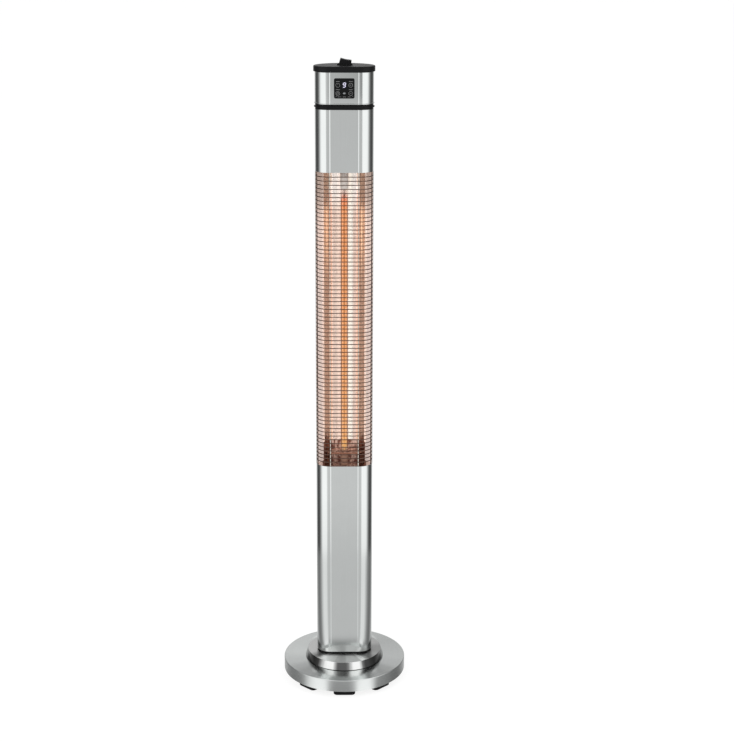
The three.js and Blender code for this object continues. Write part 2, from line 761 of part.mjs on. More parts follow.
function makeReflector() {
  const trough = outline(troughPoints(reflectorSheet));
  add('reflector', prism(trough, bracketTop + seatGap, upperDeckBottom - seatGap), brightAluminium);

  const shelfBottom = lowerDeckTop + lowerShelfHeight;
  const shelfBack = reflectorBackY - bracketSheet / 2;
  const shelfFront = lampY - capRadius - 4;
  const [flat, wing] = [reflectorFlat / 2 - bracketSheet / 2, reflectorWidth / 2 - bracketSheet];
  const shelf = [
    [-flat, shelfFront], [flat, shelfFront], [wing, reflectorFront + bracketSheet / 2],
    [flat, shelfBack], [-flat, shelfBack], [-wing, reflectorFront + bracketSheet / 2],
  ].map(([x, y]) => new THREE.Vector2(x, y));
  const capHole = circlePoints(0, lampY, capRadius + seatGap, 16);
  const bracket = join([
    prism(outline(troughPoints(bracketSheet)), lowerDeckTop + seatGap, bracketTop),
    prism(outline(shelf, [capHole]), shelfBottom, shelfBottom + 2 * bracketSheet),
  ]);
  add('lamp_bracket_lower', bracket, darkSteel);

  const holder = outline(circlePoints(0, lampY, holderRadius, 16), [capHole]);
  const holderBottom = upperDeckTop + seatGap;
  add('lamp_holder_upper', prism(holder, holderBottom, holderBottom + holderThickness), ceramic);
}

// A ceramic cap with a socket for the lamp's end; the socket opens upwards.
function lampCap(length) {
  const socketRadius = lampRadius + seatGap;
  return turned([
    [0, 0], [capRadius - 1, 0], [capRadius, 1], [capRadius, length], [socketRadius, length],
    [socketRadius, length - capSocket], [0, length - capSocket],
  ], 16);
}

function makeLamp() {
  const lowerCapBottom = lowerDeckBottom + lowerCapLift;
  const lowerFloor = lowerCapBottom + lowerCapLength - capSocket;
  const upperCapTop = upperDeckBottom + upperCapRise;
  const upperFloor = upperCapTop - upperCapLength + capSocket;
  add('lamp_cap_lower', lampCap(lowerCapLength).translate(0, lampY, lowerCapBottom), ceramic);
  add('lamp_cap_upper', lampCap(upperCapLength).rotateX(Math.PI).translate(0, lampY, upperCapTop), ceramic);

  const [tubeBottom, tubeTop] = [lowerFloor + seatGap, upperFloor - seatGap];
  const inside = circlePoints(0, lampY, lampRadius - lampWall, 18);
  const lampTube = outline(circlePoints(0, lampY, lampRadius, 18), [inside]);
  add('lamp_tube', prism(lampTube, tubeBottom, tubeTop), quartz);

  const coilBottom = tubeBottom + filamentLowerLeg;
  const coilTop = tubeTop - filamentUpperLeg;
  const stepsPerCurl = 8;
  const steps = filamentCurls * stepsPerCurl;
  const coil = [];
  for (let step = 0; step <= steps; step += 1) {
    const angle = 2 * Math.PI * step / stepsPerCurl;
    const z = coilBottom + (coilTop - coilBottom) * step / steps;
    const [x, y] = [filamentRadius * Math.cos(angle), filamentRadius * Math.sin(angle)];
    coil.push(new THREE.Vector3(x, lampY + y, z));
  }
  const lead = 2.5;
  const path = [
    new THREE.Vector3(0, lampY, tubeBottom), new THREE.Vector3(0, lampY, coilBottom - lead), ...coil,
    new THREE.Vector3(0, lampY, coilTop + lead), new THREE.Vector3(0, lampY, tubeTop),
  ];
  add('lamp_filament', wireAlong(path, filamentWire, 5), glowing);
  const curlGap = (coilTop - coilBottom) / filamentCurls - 2 * filamentWire;
  console.log(`lamp_filament: ${filamentCurls} curls, least gap ${leastGap(coil).toFixed(2)} mm, `
    + `along the axis ${curlGap.toFixed(2)} mm`);

  const tiltBoxTop = lowerTubeBottom + tiltHeight + tiltBoxLift + tiltBoxHeight;
  const lowerLead = [tiltBoxTop + seatGap, lowerCapBottom - seatGap];
  const powerBoardBottom = headBottom + headFloorThickness + pillarHeight + seatGap;
  const upperLead = [upperCapTop + seatGap, powerBoardBottom - seatGap];
  add('lamp_lead_lower', cylinder(0, lampY, leadRadius, ...lowerLead, 8), copperLead);
  add('lamp_lead_upper', cylinder(0, lampY, leadRadius, ...upperLead, 8), copperLead);
}

// The least gap of the coil to itself, between points more than half a curl apart.
function leastGap(coil) {
  let least = Infinity;
  for (let i = 0; i < coil.length; i += 1) {
    for (let j = i + 5; j < Math.min(coil.length, i + 20); j += 1) {
      least = Math.min(least, coil[i].distanceTo(coil[j]) - 2 * filamentWire);
    }
  }
  return least;
}

// ---- Head: joint ring, floor, shell and lid -----------------------------------------------
const panelBottom = headBottom + panelLift;
const panelZ = panelBottom + panelHeight / 2;
const powerBoardZ = headBottom + headFloorThickness + pillarHeight + seatGap;

function makeHead() {
  const hole = towerPoints(ringInset + ringWall);
  const ring = join([
    prism(towerOutline(ringInset, [hole]), jointRingBottom, jointRingTop),
    prism(towerOutline(insideInset, [hole]), jointRingBottom - ringNeck, jointRingBottom + 1),
    prism(towerOutline(-ringLip, [hole]), jointRingBottom + ringLipLift,
      jointRingBottom + ringLipLift + ringLipThickness),
  ]);
  add('joint_ring', ring, satinBlack);

  const floorTop = headBottom + headFloorThickness;
  const floorHoles = [
    circlePoints(0, loomY, loomRadius + seatGap), circlePoints(0, lampY, leadRadius + seatGap),
  ];
  const pillarBackY = backAt(pillarX + pillarRadius, powerBoardInset) - pillarRadius;
  const pillars = [-1, 1].flatMap((sign) => [powerBoardFront + pillarMargin, pillarBackY].map((y) => (
    cylinder(sign * pillarX, y, pillarRadius, floorTop - 1, floorTop + pillarHeight, 8)
  )));
  const floor = prism(towerOutline(insideInset, floorHoles), headBottom, floorTop);
  add('head_floor', join([floor, ...pillars]), zincPlate);

  const inside = towerPoints(tubeSheet);
  const shell = join([
    prism(towerOutline(0, [inside]), headBottom, headTop),
    prism(towerOutline(-headFlange, [inside]), headBottom, headBottom + headFlangeHeight),
  ]);
  const openingX = panelWidth / 2 - panelBackInset + seatGap;
  const openingZ = panelHeight / 2 - panelBackInset + seatGap;
  const opening = frontPrism(outline(roundedPoints(openingX, openingZ, panelCorner, 3, 0, panelZ)),
    -towerDepth / 2 - 2, -towerDepth / 2 + tubeSheet + 2);
  add('head_shell', cut(shell, [opening]), stainless);

  const lidBody = towerLoft([
    [-lidOverhang + 0.4, lidBottom], [-lidOverhang, lidBottom + 0.6], [-lidOverhang, lidTop - lidEdge],
    [-lidOverhang + lidEdge * 0.35, lidTop - lidEdge * 0.35], [-lidOverhang + lidEdge, lidTop],
  ]);
  const skirtHole = towerPoints(insideInset + lidSkirtWall);
  const lidShell = cut(lidBody, [prism(outline(skirtHole), lidBottom - 1, lidTop - lidWall)]);
  const skirt = prism(towerOutline(insideInset, [skirtHole]), lidBottom - lidSkirt, lidBottom + 1);
  const openX = rockerLength / 2 + rockerEndGap + housingWall + seatGap;
  const openY = rockerWidth / 2 + rockerSideGap + housingWall + seatGap;
  const rockerOpening = block(rockerX - openX, rockerX + openX, -openY, openY, lidBottom - 1, lidTop + 1);
  add('lid', cut(join([lidShell, skirt]), [rockerOpening]), satinBlack);
}

// ---- Control panel: fascia, buttons, display window, lens and both boards ------------------
const shellFront = -towerDepth / 2;
const panelFront = shellFront - panelProud - seatGap;
const plugBack = shellFront + panelPlugDepth;
const buttonPlaces = [
  ['button_power', -1, upperButtonLift], ['button_up', 1, upperButtonLift],
  ['button_timer', -1, lowerButtonLift], ['button_down', 1, lowerButtonLift],
].map(([name, side, lift]) => [name, side * buttonSpacing / 2, panelBottom + lift]);
const postPlaces = [-1, 1].flatMap((x) => [-1, 1].map((z) => [
  x * postSpacingX / 2, panelZ + z * postSpacingZ / 2,
]));
const displayZ = panelBottom + upperButtonLift;
const lensZ = panelBottom + lowerButtonLift;

function makePanel() {
  const holes = [
    ...buttonPlaces.map(([, x, z]) => circlePoints(x, z, buttonRadius + seatGap, 14)),
    roundedPoints(displayWidth / 2 + seatGap, displayHeight / 2 + seatGap, 1, 2, 0, displayZ),
    roundedPoints(lensWidth / 2 + seatGap, lensHeight / 2 + seatGap, lensHeight / 2, 3, 0, lensZ),
  ];
  const plate = outline(roundedPoints(panelWidth / 2, panelHeight / 2, panelCorner, 4, 0, panelZ), holes);
  const plugX = panelWidth / 2 - panelBackInset;
  const plugZ = panelHeight / 2 - panelBackInset;
  const plug = outline(roundedPoints(plugX, plugZ, panelCorner, 3, 0, panelZ), holes);
  const stemBack = plugBack + seatGap + buttonFlangeThickness;
  const keyFront = stemBack + pressGap;
  const boardFront = keyFront + keyHeight;
  const posts = postPlaces.map(([x, z]) => frontPrism(
    outline(circlePoints(x, z, postRadius, 8)), plugBack - 1, boardFront - seatGap,
  ));
  const fascia = join([
    frontPrism(plate, panelFront, shellFront - seatGap),
    frontPrism(plug, panelFront + 0.5, plugBack),
    ...posts,
  ]);
  add('control_fascia', fascia, glossBlack);

  buttonPlaces.forEach(([name, x, z]) => {
    const cap = frontPrism(outline(circlePoints(x, z, buttonRadius, 14)), panelFront - buttonProud,
      plugBack + seatGap + buttonFlangeThickness / 2);
    const flange = frontPrism(outline(circlePoints(x, z, buttonFlange)), plugBack + seatGap, stemBack);
    add(name, join([cap, flange]), glossBlack);
  });
  const window = roundedPoints(displayWidth / 2, displayHeight / 2, 1, 2, 0, displayZ);
  add('display_window', frontPrism(outline(window), panelFront, plugBack), smokedPlastic);
  const lens = roundedPoints(lensWidth / 2, lensHeight / 2, lensHeight / 2 - 0.05, 3, 0, lensZ);
  add('receiver_lens', frontPrism(outline(lens), panelFront - buttonProud, plugBack), smokedPlastic);

  const keys = buttonPlaces.map(([, x, z]) => block(
    x - keySize / 2, x + keySize / 2, keyFront, boardFront + 0.5, z - keySize / 2, z + keySize / 2,
  ));
  const digitBlock = block(-displayWidth / 2, displayWidth / 2, plugBack + seatGap, boardFront + 0.5,
    displayZ - displayHeight / 2, displayZ + displayHeight / 2);
  const receiver = block(-lensWidth / 2, lensWidth / 2, plugBack + seatGap, boardFront + 0.5,
    lensZ - lensHeight, lensZ + lensHeight);
  const [boardX, boardZ] = [controlBoardWidth / 2, controlBoardHeight / 2];
  const board = block(-boardX, boardX, boardFront, boardFront + boardThickness,
    panelZ - boardZ, panelZ + boardZ);
  add('control_board', join([board, digitBlock, receiver, ...keys]), boardGreen);
}

function makePowerBoard() {
  const boardTop = powerBoardZ + boardThickness;
  const board = prism(towerOutline(powerBoardInset, [circlePoints(0, loomY, loomRadius + seatGap)]),
    powerBoardZ, boardTop);
  const front = block(-towerWidth, towerWidth, -towerDepth, powerBoardFront, powerBoardZ - 1, boardTop + 1);
  add('power_board', cut(board, [front]), boardGreen);
  const seat = boardTop + seatGap;
  const terminals = block(-terminalWidth / 2, terminalWidth / 2, loomY - terminalDepth / 2,
    loomY + terminalDepth / 2, seat, seat + terminalHeight);
  add('terminal_block', terminals, ceramic);
  const relay = block(relayX - relayWidth / 2, relayX + relayWidth / 2, -relayDepth / 2, relayDepth / 2,
    seat, seat + relayHeight);
  add('power_relay', relay, greyPlastic);
}

// ---- Rocker switch on the lid -------------------------------------------------------------
function makeRocker() {
  const pinZ = lidTop - rockerPinDepth;
  const [cavityX, cavityY] = [rockerLength / 2 + rockerEndGap, rockerWidth / 2 + rockerSideGap];
  const [wallX, wallY] = [cavityX + housingWall, cavityY + housingWall];
  const bezelBottom = lidTop + seatGap;
  const bezel = outline(roundedPoints(wallX + bezelWidth, wallY + bezelWidth, 1.5, 3, rockerX, 0));
  const pinHole = frontPrism(outline(circlePoints(rockerX, pinZ, rockerPinRadius + seatGap, 12)),
    -wallY - 1, wallY + 1);
  const housing = cut(join([
    prism(bezel, bezelBottom, bezelBottom + bezelHeight),
    block(rockerX - wallX, rockerX + wallX, -wallY, wallY, lidTop - housingDepth, bezelBottom + 0.5),
  ]), [
    block(rockerX - cavityX, rockerX + cavityX, -cavityY, cavityY, lidTop - housingCavity, lidTop + 10),
    pinHole,
  ]);
  add('rocker_housing', housing, satinBlack);

  const pin = frontPrism(outline(circlePoints(rockerX, pinZ, rockerPinRadius, 12)), -wallY, wallY);
  add('rocker_pin', pin, zincPlate);

  const half = rockerLength / 2;
  const profile = [
    [-half, -rockerBottom], [half, -rockerBottom], [half, rockerTop - 1], [half - 1, rockerTop],
    [0, rockerTop - rockerDish], [-half + 1, rockerTop], [-half, rockerTop - 1],
  ].map(([x, z]) => new THREE.Vector2(x, z));
  const hole = circlePoints(0, 0, rockerPinRadius + seatGap, 12);
  const rocker = frontPrism(outline(profile, [hole]), -rockerWidth / 2, rockerWidth / 2);
  rocker.rotateY(THREE.MathUtils.degToRad(rockerTilt)).translate(rockerX, 0, pinZ);
  add('rocker', rocker, satinBlack);
}

makeBase();
makePost();
makeWiring();
makeTiltSwitch();
makeCage();
makeReflector();
makeLamp();
makeHead();
makePanel();
makePowerBoard();
makeRocker();

export default tower;
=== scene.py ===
# Infrared patio heater tower: a steel post on a round spun base, a wire cage over a glowing lamp
# and its reflector, and a control head. Metres, +Z up, the front faces -Y.

import math

import bmesh
import bpy
from mathutils import Matrix, Vector


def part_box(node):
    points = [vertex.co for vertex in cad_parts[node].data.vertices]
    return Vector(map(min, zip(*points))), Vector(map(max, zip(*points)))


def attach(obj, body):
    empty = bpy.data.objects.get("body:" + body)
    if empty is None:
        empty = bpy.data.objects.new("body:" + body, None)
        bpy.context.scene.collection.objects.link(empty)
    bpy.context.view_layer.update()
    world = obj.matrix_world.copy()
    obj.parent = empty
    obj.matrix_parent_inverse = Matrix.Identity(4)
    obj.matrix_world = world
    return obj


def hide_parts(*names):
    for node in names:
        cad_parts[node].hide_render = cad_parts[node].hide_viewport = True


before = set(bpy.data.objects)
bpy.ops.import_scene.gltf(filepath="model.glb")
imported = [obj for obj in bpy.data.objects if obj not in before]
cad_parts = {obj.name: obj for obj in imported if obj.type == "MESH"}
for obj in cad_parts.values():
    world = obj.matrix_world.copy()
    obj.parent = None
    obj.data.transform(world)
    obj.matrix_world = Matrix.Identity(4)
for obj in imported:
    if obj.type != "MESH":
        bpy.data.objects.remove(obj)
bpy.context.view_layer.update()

mm = 0.001

# ---- Sizes ----
tower_width = 100 * mm
tower_depth = 60 * mm
tower_corner = 23.5 * mm
widest_y = tower_corner - tower_depth / 2
corner_steps, back_steps, wire_steps = 16, 48, 12
sheet = 1 * mm
spare = 0.1 * mm
crease_x = 24.3 * mm
crease_rise = 0.18 * mm
crease_half = 0.7 * mm

base_radius = 111 * mm
cover_bore = 45 * mm
cover_sheet = 1.2 * mm
cover_round = 1.1 * mm
step_foot_radius = 71.4 * mm
step_top_radius = 66.9 * mm
foot_width = 39 * mm
foot_depth = 28 * mm
foot_corner = 7 * mm
foot_plug_radius = 3.7 * mm
foot_count = 6

ring_wire = 0.8 * mm
ring_pitch = 7 * mm
ring_count = 74
ring_inset = 0.2 * mm
ring_end_gap = 0.4 * mm
rod_radius = 1 * mm
rod_bite = 0.3 * mm
rod_x = 24.65 * mm
side_rod_angle = 10
seat_gap = 0.3 * mm
liner_gap = 0.1 * mm

collar_inset = 1.3 * mm
collar_reach = 3 * mm
liner_inset = 3.5 * mm
liner_sheet = 0.3 * mm
reflector_sheet = 0.4 * mm

lamp_y = -8 * mm
lamp_radius = 6.2 * mm
lamp_wall = 1.2 * mm
coil_radius = 1.4 * mm
coil_wire = 0.85 * mm
coil_turns = 225
coil_steps = 10
coil_lead = 2.5 * mm

panel_half_x = 17.25 * mm
panel_corner = 2.7 * mm
button_radius = 4.2 * mm
print_rise = 0.06 * mm

rocker_x = 1 * mm
rocker_tilt = 10.8
rocker_half_x = 10.4 * mm
rocker_half_y = 6.6 * mm
rocker_top = 10.75 * mm
rocker_dish = 0.6 * mm
well_half_x = 12.4 * mm
well_half_y = 7.9 * mm


def levels(node):
    """A CAD piece's lowest and highest z."""
    low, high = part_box(node)
    return low[2], high[2]


def centre_of(node):
    return [(low + high) / 2 for low, high in zip(*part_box(node))]


def linked(name, data):
    """A new object in the scene."""
    made = bpy.data.objects.new(name, data)
    bpy.context.collection.objects.link(made)
    return made


def into_mesh(name, bm):
    mesh = bpy.data.meshes.new(name)
    bm.to_mesh(mesh)
    bm.free()
    return mesh


def taken_up(mesh, bm):
    """Moves a spare mesh's shapes into a bmesh."""
    bm.from_mesh(mesh)
    bpy.data.meshes.remove(mesh)
    return bm


# ---- Materials: sockets that take part in sums ----
def both_ways(operation):
    """The methods for a value on an operation's left and on its right."""
    return (lambda self, other: self.math(operation, self, other),
            lambda self, other: self.math(operation, other, self))


class Value:
    """A node's output. Arithmetic on it adds Math nodes to its finish."""

    def __init__(self, finish, socket):
        self.finish, self.socket = finish, socket

    def math(self, operation, *numbers):
        return self.finish.node("Math", {"operation": operation}, numbers)

    __add__, __radd__ = both_ways("ADD")
    __sub__, __rsub__ = both_ways("SUBTRACT")
    __mul__, __rmul__ = both_ways("MULTIPLY")
    __truediv__, __rtruediv__ = both_ways("DIVIDE")

    def __pow__(self, other):
        return self.math("POWER", self, other)

    def __abs__(self):
        return self.math("ABSOLUTE", self)


class Finish:
    """A material in the making: one Principled shader and the nodes that feed it."""

    def __init__(self, name, **constants):
        self.material = bpy.data.materials.new(name)
        self.material.use_nodes = True
        self.tree = self.material.node_tree
        self.shader = self.tree.nodes["Principled BSDF"]
        self.output = self.tree.nodes["Material Output"]
        self.set(**constants)

    def feed(self, socket, value):
        if isinstance(value, Value):
            self.tree.links.new(value.socket, socket)
        elif value is not None:
            socket.default_value = value

    def node(self, kind, settings=None, inputs=(), output=0):
        made = self.tree.nodes.new("ShaderNode" + kind)
        for name, value in (settings or {}).items():
            setattr(made, name, value)
        pairs = inputs.items() if isinstance(inputs, dict) else enumerate(inputs)
        for key, value in pairs:
            self.feed(made.inputs[key], value)
        return Value(self, made.outputs[output])

    def set(self, **sockets):
        for socket, value in sockets.items():
            self.feed(self.shader.inputs[socket.replace("_", " ")], value)

    def place(self):
        return self.node("TexCoord", output="Object")

    def axes(self):
        parts = self.node("SeparateXYZ", inputs=[self.place()]).socket.node
        return [Value(self, out) for out in parts.outputs]

    def azimuth(self, x, y):
        """Turns round the z axis: 0 in front and positive to the right."""
        return x.math("ARCTAN2", x, 0.0 - y) / math.tau

    def scaled(self, scale):
        return self.node("Mapping", inputs={"Vector": self.place(), "Scale": scale})

    def noise(self, place, scale, detail, roughness=0.5):
        return self.node("TexNoise", inputs={
            "Vector": place, "Scale": scale, "Detail": detail, "Roughness": roughness})

    def steps(self, value, low, high):
        """Goes smoothly from 0 to 1 while value goes from low to high."""
        return self.node("MapRange", {"interpolation_type": "SMOOTHSTEP"}, [value, low, high])

    def band(self, value, *edges):
        """Goes from 0 to 1 between the first two edges and back between the last two."""
        return self.steps(value, *edges[:2]) * (1.0 - self.steps(value, *edges[2:]))

    def ramp(self, value, stops, interpolation="LINEAR"):
        made = self.node("ValToRGB", inputs=[value])
        bar = made.socket.node.color_ramp
        bar.interpolation = interpolation
        while len(bar.elements) < len(stops):
            bar.elements.new(1.0)
        for element, (position, color) in zip(bar.elements, stops):
            element.position = position
            element.color = (*color, 1.0) if isinstance(color, tuple) else (color, color, color, 1.0)
        return made

    def mix(self, share, first, second):
        return self.node("Mix", {"data_type": "RGBA"}, {0: share, 6: first, 7: second}, output=2)

    def bumped(self, height, distance):
        """The finished material, with a bump."""
        self.set(Normal=self.node("Bump", inputs={
            "Height": height, "Distance": distance, "Strength": 1.0}))
        return self.material

    def show(self, surface):
        """Shows another shader in place of the Principled one."""
        self.feed(self.output.inputs["Surface"], surface)
        self.tree.nodes.remove(self.shader)


def rgb(red, green, blue):
    return (red, green, blue, 1.0)


def scaled_rgb(color, factor, lift=0.0):
    return rgb(*(min(1.0, factor * part + lift) for part in color))


def around(stops, full=1.0):
    """Ramp stops from degrees round the tower, 0 in front and positive to the right."""
    return [(degrees / 360 + 0.5, level / full) for degrees, level in stops]


black = rgb(0, 0, 0)


def brushed_steel(name, color, roughness):
    """Sheet steel with fine streaks up the tower."""
    finish = Finish(name, Metallic=1.0, IOR=2.5)
    streak = finish.noise(finish.scaled((1, 1, 0.006)), 1400, 3.0, 0.6)
    cloud = finish.noise(finish.place(), 22, 2.0)
    shade = 0.96 + 0.05 * streak + 0.03 * cloud
    finish.set(Base_Color=finish.mix(shade - 0.5, black, scaled_rgb(color, 2.0)))
    finish.set(Roughness=roughness + 0.05 * streak)
    return finish.bumped(streak, 0.00001)


def spun_steel(name, color, roughness, stretch, top, painted_fans, sides, dull=0.0, painted_light_by_step=0.0):
    """Turned steel with fine rings round the z axis, and painted reflections in its colour: light and dark
    wedges on its flat top and its side.

    The flat top is duller by dull, and the last argument is how much lighter the disc is painted in front,
    close to the step."""
    finish = Finish(name, Metallic=1.0, IOR=2.5, Anisotropic=stretch)
    x, y, z = finish.axes()
    radius = (x * x + y * y) ** 0.5
    line = finish.node("CombineXYZ", inputs=[radius, z, 0.0])
    groove = finish.noise(line, 2600, 2.0, 0.7)
    cloud = finish.noise(finish.place(), 30, 2.0)
    flat = finish.steps(z, top - 0.4 * mm, top)
    turn = finish.azimuth(x, y) + 0.5
    # Painted reflections: ramps of light and dark by azimuth, for the flat top and for the side.
    painted_fan, side = [finish.ramp(turn, around(stops), "EASE") for stops in (painted_fans, sides)]
    # Painted light: the disc is painted lighter in front, close to the step.
    near = (1.0 - finish.steps(radius, 76 * mm, 102 * mm)) * (1.0 - finish.steps(abs(x), 52 * mm, 63 * mm))
    painted_fan = finish.mix(painted_light_by_step * near, painted_fan, rgb(0.85, 0.85, 0.85))
    shade = (flat * painted_fan + (1.0 - flat) * side) * (0.94 + 0.10 * groove + 0.06 * cloud)
    finish.set(Base_Color=finish.mix(shade, black, scaled_rgb(color, 2.0)))
    finish.set(Roughness=roughness + 0.07 * groove + dull * flat)
    return finish.bumped(groove, 0.000008)


def plated(name, color, metallic, roughness, grain=300, depth=0.00003):
    """Plain plated, painted or cast metal with a slight mottle."""
    finish = Finish(name, Metallic=metallic)
    mottle = finish.noise(finish.place(), grain, 3.0, 0.6)
    finish.set(Base_Color=finish.mix(mottle, scaled_rgb(color, 0.72), scaled_rgb(color, 1.15)))
    finish.set(Roughness=roughness - 0.08 + 0.16 * mottle)
    return finish.bumped(mottle, depth)


def moulded(name, color, roughness, grain=2600, depth=0.00002, gloss=0.3):
    """Moulded plastic or rubber with a fine spark-eroded grain."""
    finish = Finish(name, Specular_IOR_Level=gloss)
    grainy = finish.noise(finish.place(), grain, 2.0, 0.6)
    cloud = finish.noise(finish.place(), 40, 2.0)
    dark, light = scaled_rgb(color, 0.8), scaled_rgb(color, 1.35, 0.002)
    finish.set(Base_Color=finish.mix(0.6 * cloud + 0.4 * grainy, dark, light))
    finish.set(Roughness=roughness - 0.05 + 0.1 * grainy)
    return finish.bumped(grainy, depth)


def reflector_metal(name):
    """Bright rolled aluminium, tinted brown on its wings by the heat, with the lamp's light painted in as a
    pale line, a reflection and a glow.
    """
    finish = Finish(name, Metallic=1.0)
    x, _, z = finish.axes()
    across = abs(x)
    streak = finish.noise(finish.scaled((1, 1, 0.004)), 700, 3.0, 0.6)
    wing = finish.band(across, 26.2 * mm, 27.2 * mm, 35.2 * mm, 35.8 * mm)
    heat_tint_and_glow = finish.mix(streak, rgb(0.38, 0.26, 0.21), rgb(0.60, 0.50, 0.43))
    lamp_end = finish.band(z, 720 * mm, 840 * mm, 865 * mm, 895 * mm)
    line = finish.band(across, 28.8 * mm, 29.6 * mm, 30.4 * mm, 31.2 * mm)
    # Painted lamp light: the wings are pale orange near the lamp's upper end, most along one line.
    heat_tint_and_glow = finish.mix(lamp_end * (0.35 + 0.65 * line), heat_tint_and_glow, rgb(1.0, 0.72, 0.50))
    scorched = finish.mix(streak, rgb(0.25, 0.15, 0.11), rgb(0.55, 0.42, 0.34))
    heat_tint_and_glow = finish.mix(finish.steps(z, 865 * mm, 885 * mm), heat_tint_and_glow, scorched)
    clean_and_reflection = finish.mix(streak, rgb(0.82, 0.58, 0.48), rgb(0.97, 0.78, 0.67))
    inner = 1.0 - finish.steps(across, 26 * mm, 30 * mm)
    over_lamp = finish.mix(inner, rgb(0.55, 0.42, 0.36), rgb(1.0, 0.90, 0.84))
    clean_and_reflection = finish.mix(finish.steps(z, 860 * mm, 900 * mm), clean_and_reflection, over_lamp)
    # Painted reflection of the lamp: a pale cream strip just right of it.
    clean_and_reflection = finish.mix(finish.band(x, 2 * mm, 5 * mm, 13 * mm, 17 * mm), clean_and_reflection, rgb(1.0, 0.93, 0.84))
    finish.set(Base_Color=finish.mix(wing, clean_and_reflection, heat_tint_and_glow))
    # Painted glow, though the reflector is no lamp: on the bevelled facets, beside the lamp and along the
    # line near its upper end.
    facet = finish.band(across, 20.8 * mm, 21.4 * mm, 26.4 * mm, 26.8 * mm)
    lamp_side = 1.0 - finish.steps(across, 10 * mm, 14.5 * mm)
    painted_glow = 0.55 * facet + 0.5 * lamp_side + 0.6 * lamp_end * line
    finish.set(Emission_Color=finish.mix(painted_glow, black, rgb(1.0, 0.78, 0.62)), Emission_Strength=0.4)
    finish.set(Roughness=0.2 + 0.12 * streak)
    return finish.bumped(streak, 0.00002)


def hot_steel(name):
    """Steel that the heat has turned brown, with pale veins in the centre painted as highlights; darker
    towards the sides and on the shelf's front edge.
    """
    finish = Finish(name, Metallic=0.6)
    x, y, _ = finish.axes()
    streak = finish.noise(finish.scaled((1, 1, 0.25)), 260, 4.0, 0.65)
    vein = finish.steps(streak, 0.43, 0.58)
    # Painted highlights: the pale veins in the centre; the dark veins are the brown steel.
    centre_with_highlights = finish.mix(vein, rgb(0.24, 0.085, 0.055), rgb(1.0, 0.74, 0.62))
    side = finish.mix(vein, rgb(0.10, 0.03, 0.018), rgb(0.30, 0.13, 0.08))
    brown = finish.mix(finish.steps(abs(x), 21 * mm, 25 * mm), centre_with_highlights, side)
    brown = finish.mix(finish.steps(y, -18.6 * mm, -18.4 * mm), rgb(0.30, 0.13, 0.08), brown)
    finish.set(Base_Color=finish.mix(finish.steps(abs(x), 38.5 * mm, 40 * mm), brown, rgb(0.85, 0.72, 0.66)))
    finish.set(Roughness=0.42 + 0.12 * streak)
    return finish.bumped(streak, 0.0002)


def lit_liner(name):
    """The cover's bright inside: its pinkish colour and its glow are the lamp's scattered light, painted in.
    """
    finish = Finish(name, Metallic=0.2, Roughness=0.5, Emission_Strength=0.42)
    streak = finish.noise(finish.scaled((1, 1, 0.01)), 500, 3.0, 0.6)
    z = finish.axes()[2]
    top = finish.steps(z, 840 * mm, 900 * mm)
    glow = finish.mix(streak, rgb(1.0, 0.80, 0.73), rgb(1.0, 0.90, 0.87))
    finish.set(Base_Color=finish.mix(streak, rgb(0.78, 0.69, 0.64), rgb(0.93, 0.87, 0.83)))
    # Painted glow of the lamp's scattered light, dimmer near the top.
    finish.set(Emission_Color=finish.mix(top, glow, rgb(0.56, 0.45, 0.40)))
    return finish.material


def lamp_glow(finish, z, *stops):
    """A colour that runs up the lamp."""
    low, high = levels("lamp_tube")
    return finish.ramp((z - low) / (high - low), stops)


def quartz_glass(name):
    """The lamp's quartz tube: clear at its ends and full of orange light in between."""
    finish = Finish(name, Roughness=0.06, IOR=1.45, Emission_Strength=1.0)
    z = finish.axes()[2]
    lit = lamp_glow(
        finish, z, (0.00, (0.02, 0.005, 0.0)), (0.03, (1.0, 0.60, 0.25)), (0.07, (1.0, 0.51, 0.20)),
        (0.50, (1.0, 0.43, 0.15)), (0.90, (1.0, 0.39, 0.13)), (0.935, (0.97, 0.28, 0.09)),
        (0.950, (0.78, 0.17, 0.07)), (0.964, (0.06, 0.02, 0.012)), (1.0, (0.0, 0.0, 0.0)))
    # Painted dark refraction at the tube's edges: Layer Weight darkens the glow and makes the glass less
    # clear where the tube turns away.
    rim = finish.node("LayerWeight", inputs={"Blend": 0.35}, output="Facing")
    edge = finish.steps(rim, 0.20, 0.38)
    hot = finish.band(z, 440 * mm, 446 * mm, 887 * mm, 902 * mm)
    finish.set(Emission_Color=finish.mix(edge, lit, rgb(0.10, 0.03, 0.01)))
    finish.set(Base_Color=finish.mix(hot, rgb(0.75, 0.68, 0.62), rgb(0.16, 0.06, 0.03)))
    finish.set(Alpha=0.08 + 0.14 * hot + 0.5 * edge * hot + 0.17 * edge)
    return finish.material


def hot_wire(name):
    """The glowing coil and its two leads, of which the upper one is pale."""
    finish = Finish(name, Roughness=0.6, Emission_Strength=1.0)
    z = finish.axes()[2]
    upper_lead = finish.steps(z, 898 * mm, 903 * mm)
    finish.set(Base_Color=finish.mix(upper_lead, rgb(0.12, 0.05, 0.02), rgb(0.62, 0.52, 0.46)))
    finish.set(Emission_Color=lamp_glow(
        finish, z, (0.00, (0.6, 0.25, 0.02)), (0.08, (0.24, 0.08, 0.01)), (0.50, (0.13, 0.035, 0.0)),
        (0.94, (0.13, 0.03, 0.0)), (0.965, (0.10, 0.02, 0.0)), (0.975, (0.02, 0.0, 0.0))))
    return finish.material


